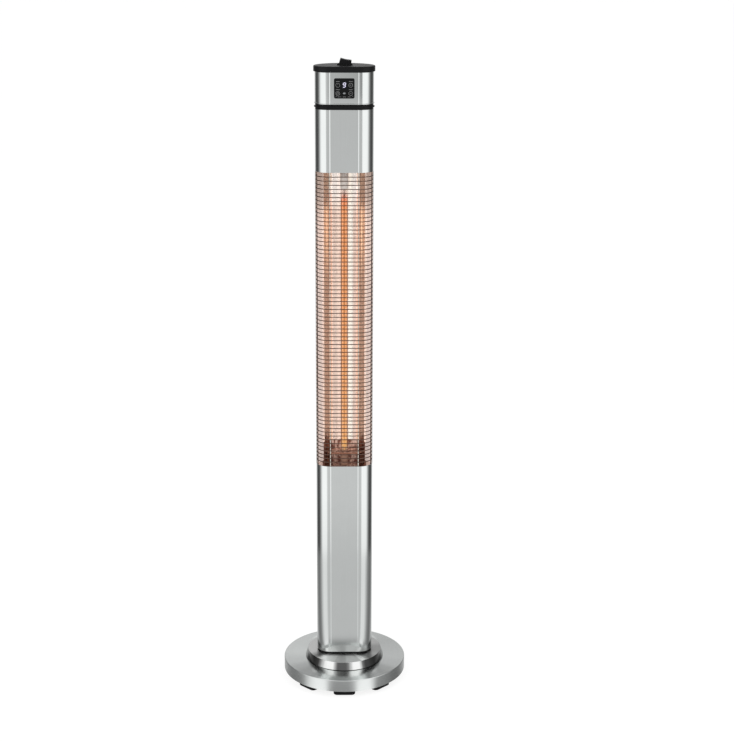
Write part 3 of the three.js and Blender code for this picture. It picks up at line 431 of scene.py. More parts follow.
def hot_ceramic(name):
    """Pale unglazed ceramic, stained brown where it stands low by the lamp's foot."""
    finish = Finish(name, Specular_IOR_Level=0.3, Roughness=0.6)
    z = finish.axes()[2]
    grain = finish.noise(finish.place(), 1200, 2.0, 0.6)
    pale = finish.mix(grain, rgb(0.74, 0.67, 0.61), rgb(0.92, 0.84, 0.78))
    stained = finish.mix(grain, rgb(0.30, 0.15, 0.10), rgb(0.48, 0.28, 0.20))
    finish.set(Base_Color=finish.mix(finish.steps(z, 436 * mm, 500 * mm), stained, pale))
    return finish.bumped(grain, 0.00004)


def lit_segment(name):
    """The display's glowing segments."""
    finish = Finish(name, Roughness=0.4, Emission_Strength=0.85)
    speck = finish.noise(finish.place(), 900, 1.0)
    finish.set(Base_Color=rgb(0.3, 0.3, 0.35))
    finish.set(Emission_Color=finish.mix(speck, rgb(0.62, 0.58, 0.85), rgb(0.85, 0.83, 1.0)))
    return finish.material


def plain_name(material):
    """A material's name without the number that a second one of that name gets."""
    return material.name.split(".")[0]


steel_grey = (0.47, 0.485, 0.48)
step_grey = (0.49, 0.495, 0.49)
# The base's painted reflections, light and dark wedges in degrees and shade: on the disc, on the step's top
# and on the step's side.
disc_painted_fans = (
    (-180, 0.50), (-120, 0.55), (-98, 0.57), (-72, 0.49), (-58, 0.38), (-46, 0.31), (-32, 0.33), (-27, 0.5),
    (-23, 0.95), (-17, 0.85), (-12, 0.48), (-7, 0.39), (0, 0.41), (5, 0.50), (9, 0.80), (16, 1.0),
    (20, 0.75), (25, 0.42), (32, 0.36), (42, 0.30), (52, 0.34), (64, 0.44), (85, 0.48), (110, 0.45),
    (125, 0.43), (180, 0.5))
step_painted_fans = (
    (-180, 0.50), (-70, 0.52), (-62, 0.36), (-56, 0.21), (-50, 0.28), (-46, 0.75), (-40, 1.0), (-34, 0.92),
    (-20, 0.82), (-14, 0.62), (-6, 0.52), (0, 0.54), (6, 0.72), (18, 0.74), (26, 0.70), (30, 0.95),
    (35, 0.82), (40, 0.40), (46, 0.25), (50, 0.30), (60, 0.38), (75, 0.30), (90, 0.30), (110, 0.42),
    (180, 0.5))
step_painted_sides = (
    (-180, 0.5), (-76, 0.5), (-68, 0.28), (-60, 0.15), (-51, 0.08), (-44, 0.05), (-40, 0.14), (-35, 0.29),
    (-30, 0.46), (-26, 0.5), (-18, 0.5), (-14, 0.24), (-10, 0.09), (2, 0.09), (6, 0.17), (9, 0.42),
    (12, 0.5), (23, 0.5), (26, 0.34), (29, 0.08), (34, 0.03), (44, 0.04), (50, 0.07), (57, 0.16),
    (65, 0.26), (72, 0.46), (78, 0.5), (180, 0.5))
rim_sides = ((0, 0.5), (180, 0.5))
cover_top, step_top = levels("base_cover")[1], levels("base_step")[1]
finishes = {plain_name(material): material for material in (
    brushed_steel("stainless", steel_grey, 0.09),
    spun_steel("spun_steel", steel_grey, 0.20, 0.75, cover_top, disc_painted_fans, rim_sides, painted_light_by_step=1.0),
    spun_steel("polished_steel", step_grey, 0.10, 0.5, step_top, step_painted_fans, step_painted_sides, dull=0.28),
    plated("zinc_plate", (0.42, 0.42, 0.38), 0.9, 0.42),
    hot_steel("dark_steel"),
    plated("ballast_iron", (0.05, 0.05, 0.052), 0.5, 0.75, 500, 0.0002),
    plated("cage_wire", (0.105, 0.062, 0.047), 0.8, 0.35, 900, 0.00001),
    plated("rod_steel", (0.52, 0.48, 0.43), 0.9, 0.35, 900, 0.00001),
    reflector_metal("reflector_aluminium"),
    moulded("satin_black", (0.006, 0.006, 0.0065), 0.42, gloss=0.1),
    moulded("gloss_black", (0.005, 0.005, 0.0055), 0.16, 3000, 0.000003, 0.1),
    moulded("smoked_plastic", (0.007, 0.007, 0.012), 0.10, 3000, 0.000002, 0.12),
    moulded("grey_plastic", (0.24, 0.25, 0.26), 0.45),
    moulded("circuit_board", (0.012, 0.10, 0.04), 0.4),
    moulded("rubber", (0.007, 0.007, 0.0075), 0.7, 1500, 0.00005, 0.1),
    moulded("lead_sleeve", (0.55, 0.53, 0.47), 0.6),
    hot_ceramic("ceramic"),
    moulded("mica", (0.45, 0.37, 0.24), 0.6, 400, 0.00006),
    quartz_glass("quartz"),
    hot_wire("glowing_filament"),
)}
panel_ink = moulded("panel_ink", (0.22, 0.22, 0.22), 0.5)
digit_light = lit_segment("digit_light")
cover_liner = lit_liner("cover_liner")


# ---- Camera, light and floor ----
camera_place = (0, -2.8652, 1.4134)
camera_yaw, camera_down, camera_roll = -0.802, 16.19, 0.21
focal_pixels, picture_pixels = 1686.07, 742
sensor_width = 36


def make_camera():
    data = bpy.data.cameras.new("camera")
    camera = linked("camera", data)
    data.sensor_width = sensor_width
    data.lens = focal_pixels * sensor_width / picture_pixels
    data.clip_start, data.clip_end = 0.05, 200
    turn, pitch, roll = [
        Matrix.Rotation(math.radians(angle), 4, axis)
        for angle, axis in ((camera_yaw, "Z"), (90 - camera_down, "X"), (camera_roll, "Z"))]
    camera.matrix_world = Matrix.Translation(camera_place) @ turn @ pitch @ roll
    bpy.context.scene.camera = camera


def seen_ray(tree):
    """1 for the rays that see the surroundings: from the camera, a gloss or a glass."""
    path = tree.nodes.new("ShaderNodeLightPath")
    total = path.outputs["Is Camera Ray"]
    for name in ("Is Glossy Ray", "Is Transmission Ray"):
        add = tree.nodes.new("ShaderNodeMath")
        add.operation = "MAXIMUM"
        tree.links.new(total, add.inputs[0])
        tree.links.new(path.outputs[name], add.inputs[1])
        total = add.outputs[0]
    return total


def make_world():
    world = bpy.data.worlds.new("world")
    bpy.context.scene.world = world
    world.use_nodes = True
    tree = world.node_tree
    light = tree.nodes["Background"]
    light.inputs["Color"].default_value = rgb(1, 1, 1)
    strength = tree.nodes.new("ShaderNodeMix")
    strength.inputs["A"].default_value = 0.75
    strength.inputs["B"].default_value = 1.0
    tree.links.new(seen_ray(tree), strength.inputs["Factor"])
    tree.links.new(strength.outputs["Result"], light.inputs["Strength"])


def make_floor():
    """A pale floor that keeps the object's shadow."""
    bm = bmesh.new()
    bmesh.ops.create_grid(bm, x_segments=1, y_segments=1, size=40)
    floor = linked("floor", into_mesh("floor", bm))
    finish = Finish("floor_white")
    plain, dim = [finish.node("BsdfDiffuse", inputs={"Color": rgb(grey, grey, grey)})
                  for grey in (0.8, 0.22)]
    glow = finish.node("Emission", inputs={"Color": rgb(1, 1, 1), "Strength": 0.84})
    both = finish.node("AddShader", inputs=[dim, glow])
    seen = Value(finish, seen_ray(finish.tree))
    finish.show(finish.node("MixShader", inputs=[seen, plain, both]))
    floor.data.materials.append(finish.material)


def make_lamps():
    """Two broad soft lamps for the plastics; the polished steel sees the light tent instead."""
    for name, place, size, power in (
            ("lamp_left", (-1.6, -2.2, 2.6), 1.6, 26), ("lamp_right", (1.9, -1.4, 2.2), 1.4, 14)):
        data = bpy.data.lights.new(name, "AREA")
        data.shape, data.size, data.energy = "DISK", size, power
        lamp = linked(name, data)
        aim = Vector((0, 0, 0.6)) - Vector(place)
        lamp.matrix_world = Matrix.Translation(place) @ aim.to_track_quat("-Z", "Y").to_matrix().to_4x4()
        lamp.visible_glossy = False
        lamp.visible_camera = False


# The light tent: its size, where its floor's far light sets in, and its grey card behind the camera.
tent_radius = 0.6
tent_height = 2.1
tent_floor = 4 * mm
tent_gap = 2 * mm
tent_strength = 2.0
far_reach = (168 * mm, 200 * mm)
card_half = (0.058, 0.068)
card_levels = (0.78, 0.82, 0.975, 0.985)

# Light round the tower, in degrees and strength: on the tent's wall, beside the head, and on its floor.
dark_left = ((-180, 0.95), (-150, 0.7), (-140, 0.13), (-110, 0.13), (-96, 0.38), (-85, 0.95), (-73, 1.75))
dark_right = tuple((-degrees, level) for degrees, level in reversed(dark_left))
tent_wall = dark_left + (
    (-62, 1.88), (-29, 1.88), (-22, 1.12), (22, 1.12), (26, 1.88), (62, 1.88)) + dark_right
tent_head = dark_left + (
    (-62, 1.88), (-32, 1.88), (-20, 1.0), (-8, 0.86), (-2.5, 0.84), (2.5, 0.74), (8, 0.64), (18, 0.52),
    (22, 0.6), (26, 1.88), (62, 1.88)) + dark_right
tent_far = (
    (-180, 0.8), (-150, 0.5), (-126, 0.30), (-108, 0.36), (-95, 0.55), (-80, 1.0), (-62, 1.42), (-36, 1.42),
    (-22, 0.97), (22, 0.97), (28, 1.42), (58, 1.42), (76, 0.92), (92, 0.5), (108, 0.34), (126, 0.28),
    (150, 0.5), (180, 0.8))
tent_near = (
    (-180, 0.75), (-160, 0.6), (-145, 0.45), (-120, 0.34), (-97, 0.38), (-86, 0.50), (-70, 1.40),
    (-55, 1.75), (-36, 1.75), (-28, 0.75), (-20, 0.52), (10, 0.52), (19, 0.85), (26, 1.75), (49, 1.80),
    (57, 1.25), (64, 0.46), (90, 0.38), (110, 0.27), (130, 0.27), (145, 0.4), (160, 0.6), (180, 0.75))


def make_tent():
    """Soft boxes, a grey card and dark flags round the tower, seen by its polished surfaces alone."""
    profile = [(base_radius + tent_gap, tent_floor), (tent_radius, tent_floor), (tent_radius, tent_height)]
    tent = linked("light_tent", into_mesh("light_tent", turned(profile, 96)))
    finish = Finish("tent_light")
    x, y, z = finish.axes()
    reach = (x * x + y * y) ** 0.5
    turn = finish.azimuth(x, y) * 2.0 / (2.0 - base_radius / reach) + 0.5
    wall, head, far, near = [finish.ramp(turn, around(stops, tent_strength))
                             for stops in (tent_wall, tent_head, tent_far, tent_near)]
    wall = finish.mix(0.10 * (1.0 - finish.steps(z, 0.02, 0.17)), wall, black)
    ground = finish.mix(finish.steps(reach, *far_reach), near, far)
    level = finish.mix(finish.steps(z, tent_floor, 0.03), ground, wall)
    card = 1.0 - finish.steps(abs(turn - 0.5), *card_half)
    level = finish.mix(0.13 * card * finish.band(z, *card_levels), level, black)
    level = finish.mix(finish.steps(z, 0.98, 1.0), level, head)
    finish.show(finish.node("Emission", inputs={"Color": level, "Strength": tent_strength}))
    finish.material.cycles.emission_sampling = "NONE"
    tent.data.materials.append(finish.material)
    tent.visible_camera = tent.visible_diffuse = tent.visible_shadow = False
    tent.visible_transmission = tent.visible_volume_scatter = False


# ---- Making pieces ----
def piece(name, bm, slot, stands_for=(), body="heater", finish=None, smooth=40):
    bmesh.ops.remove_doubles(bm, verts=bm.verts, dist=1e-7)
    bmesh.ops.recalc_face_normals(bm, faces=bm.faces)
    for face in bm.faces:
        face.smooth = True
    mesh = into_mesh(name, bm)
    mesh.set_sharp_from_angle(angle=math.radians(smooth))
    mesh.materials.append(finish or finishes[slot])
    made = linked(name, mesh)
    weights = made.modifiers.new("weighted_normals", "WEIGHTED_NORMAL")
    weights.keep_sharp = True
    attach(made, body)
    if stands_for:
        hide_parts(*stands_for)
    return made


def thicken(made, thickness, offset=-1.0):
    """Gives a piece's bare sheet its thickness, before its normals are weighted."""
    wall = made.modifiers.new("sheet", "SOLIDIFY")
    wall.thickness, wall.offset = thickness, offset
    made.modifiers.move(1, 0)


def everything(bm):
    return bm.verts[:] + bm.edges[:] + bm.faces[:]


def verts_in(geom):
    return [item for item in geom if isinstance(item, bmesh.types.BMVert)]


def drawn_up(bm, edges, height):
    """Draws edges up into upright faces."""
    grown = bmesh.ops.extrude_edge_only(bm, edges=edges)["geom"]
    bmesh.ops.translate(bm, vec=(0, 0, height), verts=verts_in(grown))
    return bm


def split(bm, place, normal):
    bmesh.ops.bisect_plane(bm, geom=everything(bm), plane_co=place, plane_no=normal)


# What a soften takes: places over a level, under one, or in front of a depth.
def over(level):
    return lambda point: point.z > level - spare


def under(level):
    return lambda point: point.z < level + spare


def in_front(y):
    return lambda point: point.y < y + spare


def soften(bm, width, segments, angle=30, where=None):
    """Rounds the sharp edges."""
    bmesh.ops.recalc_face_normals(bm, faces=bm.faces)
    edges = [edge for edge in bm.edges if len(edge.link_faces) == 2
             and edge.calc_face_angle(0.0) > math.radians(angle)
             and (where is None or all(where(vert.co) for vert in edge.verts))]
    bmesh.ops.bevel(bm, geom=edges, offset=width, segments=segments, profile=0.5,
                    affect="EDGES", material=-1, clamp_overlap=True)


def turned(profile, steps, is_loop=False):
    """A body turned about the z axis from (radius, height) pairs."""
    bm = bmesh.new()
    points = [bm.verts.new((radius, 0, height)) for radius, height in profile]
    edges = [bm.edges.new(pair) for pair in zip(points, points[1:])]
    if is_loop:
        edges.append(bm.edges.new((points[-1], points[0])))
    bmesh.ops.spin(bm, geom=points + edges, axis=(0, 0, 1), cent=(0, 0, 0), angle=math.tau,
                   steps=steps, use_merge=True, use_duplicate=False)
    bmesh.ops.remove_doubles(bm, verts=bm.verts, dist=1e-6)
    return bm


def corner_outline(steps):
    """(place, way out) pairs round both front corners of the tower, from the left to the right."""
    pairs = []
    for side in (-1, 1):
        centre = Vector((side * (tower_width / 2 - tower_corner), widest_y, 0))
        for i in range(steps + 1):
            angle = math.pi * (1.25 + 0.25 * side + 0.5 * i / steps)
            way = Vector((math.cos(angle), math.sin(angle), 0))
            pairs.append((centre + way * tower_corner, way))
    return pairs


def back_outline(steps):
    """(place, way out) pairs round the tower's oval back, from the right to the left."""
    oval_x, oval_y = tower_width / 2, tower_depth / 2 - widest_y
    pairs = []
    for i in range(steps + 1):
        side, back = math.cos(math.pi * i / steps), math.sin(math.pi * i / steps)
        pairs.append((Vector((oval_x * side, widest_y + oval_y * back, 0)),
                      Vector((side / oval_x, back / oval_y, 0)).normalized()))
    return pairs


def tower_sweep(profile, is_loop=True):
    """Takes a profile of (outwards, height) pairs round the tower's section."""
    bm = bmesh.new()
    pairs = back_outline(back_steps) + corner_outline(corner_steps)[1:-1]
    verts = [bm.verts.new(place) for place, _ in pairs]
    first = ring = [bm.edges.new(pair) for pair in zip(verts, verts[1:] + verts[:1])]
    sources = dict(zip(verts, pairs))
    place_ring(sources, *profile[0])
    for level in profile[1:]:
        grown = bmesh.ops.extrude_edge_only(bm, edges=ring)["geom"]
        fresh = {}
        for vert in verts_in(grown):
            neighbours = [edge.other_vert(vert) for edge in vert.link_edges]
            fresh[vert] = next(sources[below] for below in neighbours if below in sources)
        ring = [item for item in grown if isinstance(item, bmesh.types.BMEdge)
                and all(vert in fresh for vert in item.verts)]
        sources = fresh
        place_ring(sources, *level)
    if is_loop:
        bmesh.ops.bridge_loops(bm, edges=first + ring)
    else:
        bmesh.ops.holes_fill(bm, edges=first + ring, sides=0)
    return bm


def place_ring(sources, out, height):
    for vert, (place, way) in sources.items():
        vert.co = place + way * out
        vert.co.z = height


def crease(bm):
    """Two low folds up the front of a sheet."""
    for side in (-1, 1):
        for step in (-1, 0, 1):
            split(bm, (side * crease_x + step * crease_half, 0, 0), (1, 0, 0))
    for vert in bm.verts:
        if abs(abs(vert.co.x) - crease_x) < 1e-6 and vert.co.y < sheet / 2 - tower_depth / 2:
            vert.co.y -= crease_rise


def cut_window(bm, half_x, low, high):
    """An opening through the front wall of a sheet."""
    for side in (-half_x, half_x):
        split(bm, (side, 0, 0), (1, 0, 0))
    for height in (low, high):
        split(bm, (0, 0, height), (0, 0, 1))
    inside = []
    for face in bm.faces:
        centre = face.calc_center_median()
        if abs(centre.x) < half_x and low < centre.z < high and centre.y < 0:
            inside.append(face)
    bmesh.ops.delete(bm, geom=inside, context="FACES")
    bmesh.ops.bridge_loops(bm, edges=[edge for edge in bm.edges if edge.is_boundary])


def rounded_block(low, high, corner, steps=6, along="z"):
    """A box with its four edges along one axis rounded."""
    low, high = Vector(low), Vector(high)
    bm = bmesh.new()
    bmesh.ops.create_cube(bm, size=1)
    bmesh.ops.scale(bm, vec=high - low, verts=bm.verts)
    bmesh.ops.translate(bm, vec=(low + high) / 2, verts=bm.verts)
    axis = "xyz".index(along)
    span = (high - low)[axis]
    edges = [edge for edge in bm.edges
             if abs(abs(edge.verts[0].co[axis] - edge.verts[1].co[axis]) - span) < 1e-7]
    if corner:
        bmesh.ops.bevel(bm, geom=edges, offset=corner, segments=steps, profile=0.5,
                        affect="EDGES", material=-1)
    return bm


def cylinder(radius, depth, segments):
    bm = bmesh.new()
    bmesh.ops.create_cone(bm, cap_ends=True, segments=segments, radius1=radius, radius2=radius, depth=depth)
    return bm


def face_towards(bm, way):
    """The face that lies furthest along a direction."""
    way = Vector(way)
    return max((face for face in bm.faces if face.normal.dot(way) > 0.99),
               key=lambda face: face.calc_center_median().dot(way))


def sink(bm, face, inset, depth):
    """Draws a face's outline in and moves the face along its normal."""
    bmesh.ops.inset_individual(bm, faces=[face], thickness=inset, use_even_offset=True)
    normal = face.normal.copy()
    grown = bmesh.ops.extrude_discrete_faces(bm, faces=[face])["faces"]
    for vert in grown[0].verts:
        vert.co += normal * depth


def add_to(bm, other):
    """Moves another bmesh's shapes into this one."""
    return taken_up(into_mesh("spare", other), bm)


def wire(points, radius):
    """A wire along points."""
    curve = bpy.data.curves.new("wire", "CURVE")
    curve.dimensions = "3D"
    curve.bevel_depth = radius
    curve.bevel_resolution = 1
    curve.use_fill_caps = True
    spline = curve.splines.new("POLY")
    spline.points.add(len(points) - 1)
    for point, place in zip(spline.points, points):
        point.co = (*place, 1)
    holder = bpy.data.objects.new("wire", curve)
    bm = taken_up(bpy.data.meshes.new_from_object(holder), bmesh.new())
    bpy.data.objects.remove(holder)
    bpy.data.curves.remove(curve)
    bmesh.ops.remove_doubles(bm, verts=bm.verts, dist=1e-7)
    return bm


def turn_of(degrees, axis):
    return Matrix.Rotation(math.radians(degrees), 3, axis)


def moved(bm, way, turn=None):
    if turn:
        bmesh.ops.rotate(bm, verts=bm.verts, cent=(0, 0, 0), matrix=turn)
    bmesh.ops.translate(bm, vec=way, verts=bm.verts)
    return bm


def carved(bm, tool):
    """Cuts the tool's shapes out of a body."""
    holders = []
    for shape in (bm, tool):
        bmesh.ops.recalc_face_normals(shape, faces=shape.faces)
        holders.append(linked("carve", into_mesh("carve", shape)))
    modifier = holders[0].modifiers.new("carve", "BOOLEAN")
    modifier.operation, modifier.solver, modifier.object = "DIFFERENCE", "EXACT", holders[1]
    graph = bpy.context.evaluated_depsgraph_get()
    made = taken_up(bpy.data.meshes.new_from_object(holders[0].evaluated_get(graph)), bmesh.new())
    for holder in holders:
        bpy.data.objects.remove(holder)
    return made


# ---- Base ----
def make_base():
    bottom, top = levels("base_cover")
    inner = base_radius - cover_sheet
    cover = turned([
        (cover_bore, top), (base_radius, top), (base_radius, bottom), (inner, bottom),
        (inner, top - cover_sheet), (cover_bore, top - cover_sheet)], 160, is_loop=True)
    soften(cover, cover_round, 4, where=lambda point: point.z > top - spare and point.xy.length > inner)
    soften(cover, 0.25 * mm, 2, where=under(bottom))
    piece("base_cover_spun", cover, "spun_steel", ["base_cover"])

    bottom, top = levels("base_step")
    step = turned([
        (0, bottom), (step_foot_radius - 0.8 * mm, bottom), (step_foot_radius, bottom + 0.5 * mm),
        (step_foot_radius, bottom + 1.2 * mm), (step_top_radius, top), (0, top)], 128)
    soften(step, 0.6 * mm, 3, where=over(top))
    piece("base_step_turned", step, "polished_steel", ["base_step"])

    bottom, top = levels("post_gasket")
    gasket = tower_sweep([(-0.8 * mm, bottom), (-0.8 * mm, top)], is_loop=False)
    soften(gasket, 0.5 * mm, 3)
    piece("post_gasket_rubber", gasket, "rubber", ["post_gasket"])

    for i in range(foot_count):
        node = f"foot_{i + 1}"
        bottom, top = levels(node)
        x, y, _ = centre_of(node)
        pad = top - 1.3 * mm
        half_x, half_y = foot_width / 2, foot_depth / 2
        foot = rounded_block((-half_x, -half_y, bottom), (half_x, half_y, pad), foot_corner, 6)
        soften(foot, 0.8 * mm, 3, angle=60, where=under(bottom))
        soften(foot, 0.4 * mm, 2, angle=60, where=over(pad))
        sink(foot, face_towards(foot, (0, 0, -1)), 2.5 * mm, -0.4 * mm)
        plug_foot = pad - 1 * mm
        add_to(foot, turned(
            [(0, plug_foot), (foot_plug_radius, plug_foot), (foot_plug_radius, top), (0, top)], 24))
        moved(foot, (x, y, 0), Matrix.Rotation(math.atan2(x, -y), 3, "Z"))
        piece(f"{node}_rubber", foot, "rubber", [node])


# ---- Post ----
def make_tubes():
    for node in ("lower_tube", "upper_tube"):
        bottom, top = levels(node)
        tube = tower_sweep([(0, bottom), (0, top), (-sheet, top), (-sheet, bottom)])
        soften(tube, 0.3 * mm, 2)
        crease(tube)
        piece(f"{node}_sheet", tube, "stainless", [node], smooth=10)


def make_gland():
    low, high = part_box("cable_gland")
    inner, outside, end = low[1], tower_depth / 2 + 0.3 * mm, high[1]
    seat = outside + 6 * mm
    profile = [(3.5 * mm, inner), (6 * mm, inner), (6 * mm, outside), (9.6 * mm, outside),
               (10 * mm, outside + 0.5 * mm), (10 * mm, seat - 0.6 * mm), (9.4 * mm, seat)]
    ribs = 5
    pitch = (end - seat) / ribs
    for i in range(ribs):
        start, wide = seat + i * pitch, (7.6 - 0.28 * i) * mm
        narrow = wide - 0.8 * mm
        profile += [(wide, start + 0.1 * mm), (wide, start + 0.55 * pitch),
                    (narrow, start + 0.62 * pitch), (narrow, start + 0.98 * pitch)]
    profile += [(4.4 * mm, end), (3.5 * mm, end)]
    gland = turned(profile, 48, is_loop=True)
    moved(gland, (0, 0, centre_of("cable_gland")[2]), turn_of(-90, "X"))
    piece("cable_gland_ribbed", gland, "satin_black", ["cable_gland"])


# ---- Cage ----
def make_cage():
    low, high = levels("grille_cage")
    path = [place - way * (ring_inset + ring_wire) for place, way in corner_outline(wire_steps)]
    for end in (path[0], path[-1]):
        end.y -= ring_end_gap
    cage = moved(wire(path, ring_wire), (0, 0, levels("upper_tube")[0] - ring_end_gap - ring_pitch))
    one = everything(cage)
    for i in range(1, ring_count):
        copy = bmesh.ops.duplicate(cage, geom=one)["geom"]
        bmesh.ops.translate(cage, vec=(0, 0, -ring_pitch * i), verts=verts_in(copy))
    rods = bmesh.new()
    rod_inset = ring_inset + 2 * ring_wire + rod_radius - rod_bite
    reach, lean = tower_corner - rod_inset, math.radians(side_rod_angle)
    side_x = tower_width / 2 - tower_corner + reach * math.cos(lean)
    for target, x, y in ((rods, rod_x, rod_inset - tower_depth / 2),
                         (cage, side_x, widest_y - reach * math.sin(lean))):
        for side in (-1, 1):
            add_to(target, moved(cylinder(rod_radius, high - low, 12), (side * x, y, (low + high) / 2)))
    piece("grille_cage_wires", cage, "cage_wire", ["grille_cage"])
    piece("grille_cage_rods", rods, "cage_wire", finish=finishes["rod_steel"])


def back_sheet(inset, low, high):
    """A bare sheet along the tower's oval back."""
    bm = bmesh.new()
    verts = [bm.verts.new(place - way * inset) for place, way in back_outline(back_steps)]
    edges = [bm.edges.new(pair) for pair in zip(verts, verts[1:])]
    return drawn_up(moved(bm, (0, 0, low)), edges, high - low)


def make_rear_cover():
    low, high = levels("rear_cover")
    bottom, top = levels("lower_tube")[1], levels("upper_tube")[0]
    outside = back_sheet(0, bottom + seat_gap, top - seat_gap)
    thicken(piece("rear_cover_sheet", outside, "stainless", ["rear_cover"]), sheet)
    # The collars and the liner take the liner finish, with its painted glow of lamp light.
    for name, inset, thickness, start, end in (
            ("collar_low", collar_inset, sheet, low, bottom + collar_reach),
            ("collar_top", collar_inset, sheet, top - collar_reach, high),
            ("liner", sheet + liner_gap, liner_sheet, bottom + liner_inset, top - liner_inset)):
        inside = back_sheet(inset, start, end)
        thicken(piece(f"rear_cover_{name}", inside, "stainless", finish=cover_liner), thickness)


# ---- Reflector and lamp ----
def make_reflector():
    bottom, top = levels("reflector")
    half = [(38.4, -6.0), (35.8, -6.0), (27.6, 5.2), (21.0, 9.3), (0.0, 9.3)]
    section = half + [(-x, y) for x, y in reversed(half[:-1])]
    bm = bmesh.new()
    points = [bm.verts.new((x * mm, y * mm, bottom)) for x, y in section]
    for pair in zip(points, points[1:]):
        bm.edges.new(pair)
    bmesh.ops.bevel(bm, geom=points[1:-1], offset=1.2 * mm, segments=4, profile=0.5, affect="VERTICES",
                    material=-1)
    drawn_up(bm, bm.edges[:], top - bottom)
    made = piece("reflector_folded", bm, "reflector_aluminium", ["reflector"], smooth=60)
    thicken(made, reflector_sheet, 0.0)


def make_lamp():
    bottom, top = levels("lamp_tube")
    inside = lamp_radius - lamp_wall
    wall = [(lamp_radius, bottom), (lamp_radius, top), (inside, top), (inside, bottom)]
    tube = moved(turned(wall, 40, is_loop=True), (0, lamp_y, 0))
    piece("lamp_tube_quartz", tube, "quartz", ["lamp_tube"])

    low, high = bottom + 10 * mm, top - 14 * mm
    steps = coil_turns * coil_steps
    points = [(0, lamp_y, bottom), (0, lamp_y, low - coil_lead)]
    for i in range(steps + 1):
        angle = math.tau * i / coil_steps
        points.append((coil_radius * math.cos(angle), lamp_y + coil_radius * math.sin(angle),
                       low + (high - low) * i / steps))
    points += [(0, lamp_y, high + coil_lead), (0, lamp_y, top)]
    piece("lamp_coil", wire(points, coil_wire), "glowing_filament", ["lamp_filament"])

    for node, is_flipped in (("lamp_cap_lower", False), ("lamp_cap_upper", True)):
        bottom, top = levels(node)
        length = top - bottom
        cap = turned([
            (0, 0), (5.6 * mm, 0), (7 * mm, 1 * mm), (7 * mm, 6 * mm), (6.2 * mm, 6.6 * mm),
            (6.2 * mm, 9 * mm), (7 * mm, 9.6 * mm), (7 * mm, length - 0.8 * mm), (6.8 * mm, length),
            (6.4 * mm, length), (6.4 * mm, length - 8 * mm), (0, length - 8 * mm)], 40)
        start, turn = (top, turn_of(180, "X")) if is_flipped else (bottom, None)
        piece(f"{node}_ceramic", moved(cap, (0, lamp_y, start), turn), "ceramic", [node])


# ---- Head ----
def make_head():
    bottom, top = levels("joint_ring")
    seat = bottom + 5 * mm
    ring = tower_sweep([
        (-1.3 * mm, bottom), (-1.3 * mm, seat), (-0.7 * mm, seat), (-0.7 * mm, seat + 2.8 * mm),
        (1.3 * mm, seat + 2.8 * mm), (1.3 * mm, seat + 4.4 * mm), (-0.7 * mm, seat + 4.4 * mm),
        (-0.7 * mm, top), (-8.2 * mm, top), (-8.2 * mm, bottom)])
    soften(ring, 0.35 * mm, 3)
    piece("joint_ring_moulded", ring, "satin_black", ["joint_ring"])

    bottom, top = levels("head_shell")
    shell = tower_sweep([
        (1 * mm, bottom), (1 * mm, bottom + 1.6 * mm), (0, bottom + 1.6 * mm), (0, top),
        (-sheet, top), (-sheet, bottom)])
    soften(shell, 0.35 * mm, 3)
    crease(shell)
    low, high = levels("control_fascia")
    lap = 0.9 * mm
    cut_window(shell, panel_half_x - lap, low + lap, high - lap)
    piece("head_shell_sheet", shell, "stainless", ["head_shell"], smooth=10)

    bottom, top = levels("lid")
    rim = bottom + 6 * mm
    lid = tower_sweep([
        (-1.3 * mm, bottom), (-1.3 * mm, rim), (1.7 * mm, rim), (2.2 * mm, rim + 0.5 * mm),
        (2.2 * mm, top - 1.5 * mm), (1.9 * mm, top - 0.7 * mm), (1.3 * mm, top - 0.2 * mm),
        (0.4 * mm, top)], is_loop=False)
    well = rounded_block((rocker_x - well_half_x, -well_half_y, bottom - 10 * mm),
                         (rocker_x + well_half_x, well_half_y, top + 10 * mm), 0)
    piece("lid_moulded", carved(lid, well), "satin_black", ["lid"])


# ---- Control panel ----
def bar(x, z, width, height, front, lean=0.0):
    """A flat printed bar on a front face."""
    low, high = [(side * width / 2, front + side * print_rise, side * height / 2) for side in (-1, 1)]
    block = rounded_block(low, high, min(width, height) * 0.3, 3, "y")
    return moved(block, (x, 0, z), Matrix.Rotation(lean, 3, "Y"))


def flat_ring(x, z, outer, inner, front, sweep=math.tau, start=0.0):
    """A flat printed ring, or a part of one, on a front face."""
    bm = bmesh.new()
    section = [bm.verts.new((radius, front + y, 0)) for radius, y in (
        (inner, -print_rise), (outer, -print_rise), (outer, print_rise), (inner, print_rise))]
    face = bm.faces.new(section)
    edges = face.edges[:]
    if sweep == math.tau:
        bmesh.ops.delete(bm, geom=[face], context="FACES_ONLY")
        bmesh.ops.spin(bm, geom=section + edges, axis=(0, 1, 0), cent=(0, front, 0), angle=math.tau,
                       steps=32, use_merge=True, use_duplicate=False)
    else:
        bmesh.ops.rotate(bm, verts=bm.verts, cent=(0, front, 0), matrix=Matrix.Rotation(start, 3, "Y"))
        bmesh.ops.spin(bm, geom=[face] + edges + section, axis=(0, 1, 0), cent=(0, front, 0), angle=sweep,
                       steps=20, use_merge=False, use_duplicate=True)
        bmesh.ops.remove_doubles(bm, verts=bm.verts, dist=1e-7)
    return moved(bm, (x, 0, z))


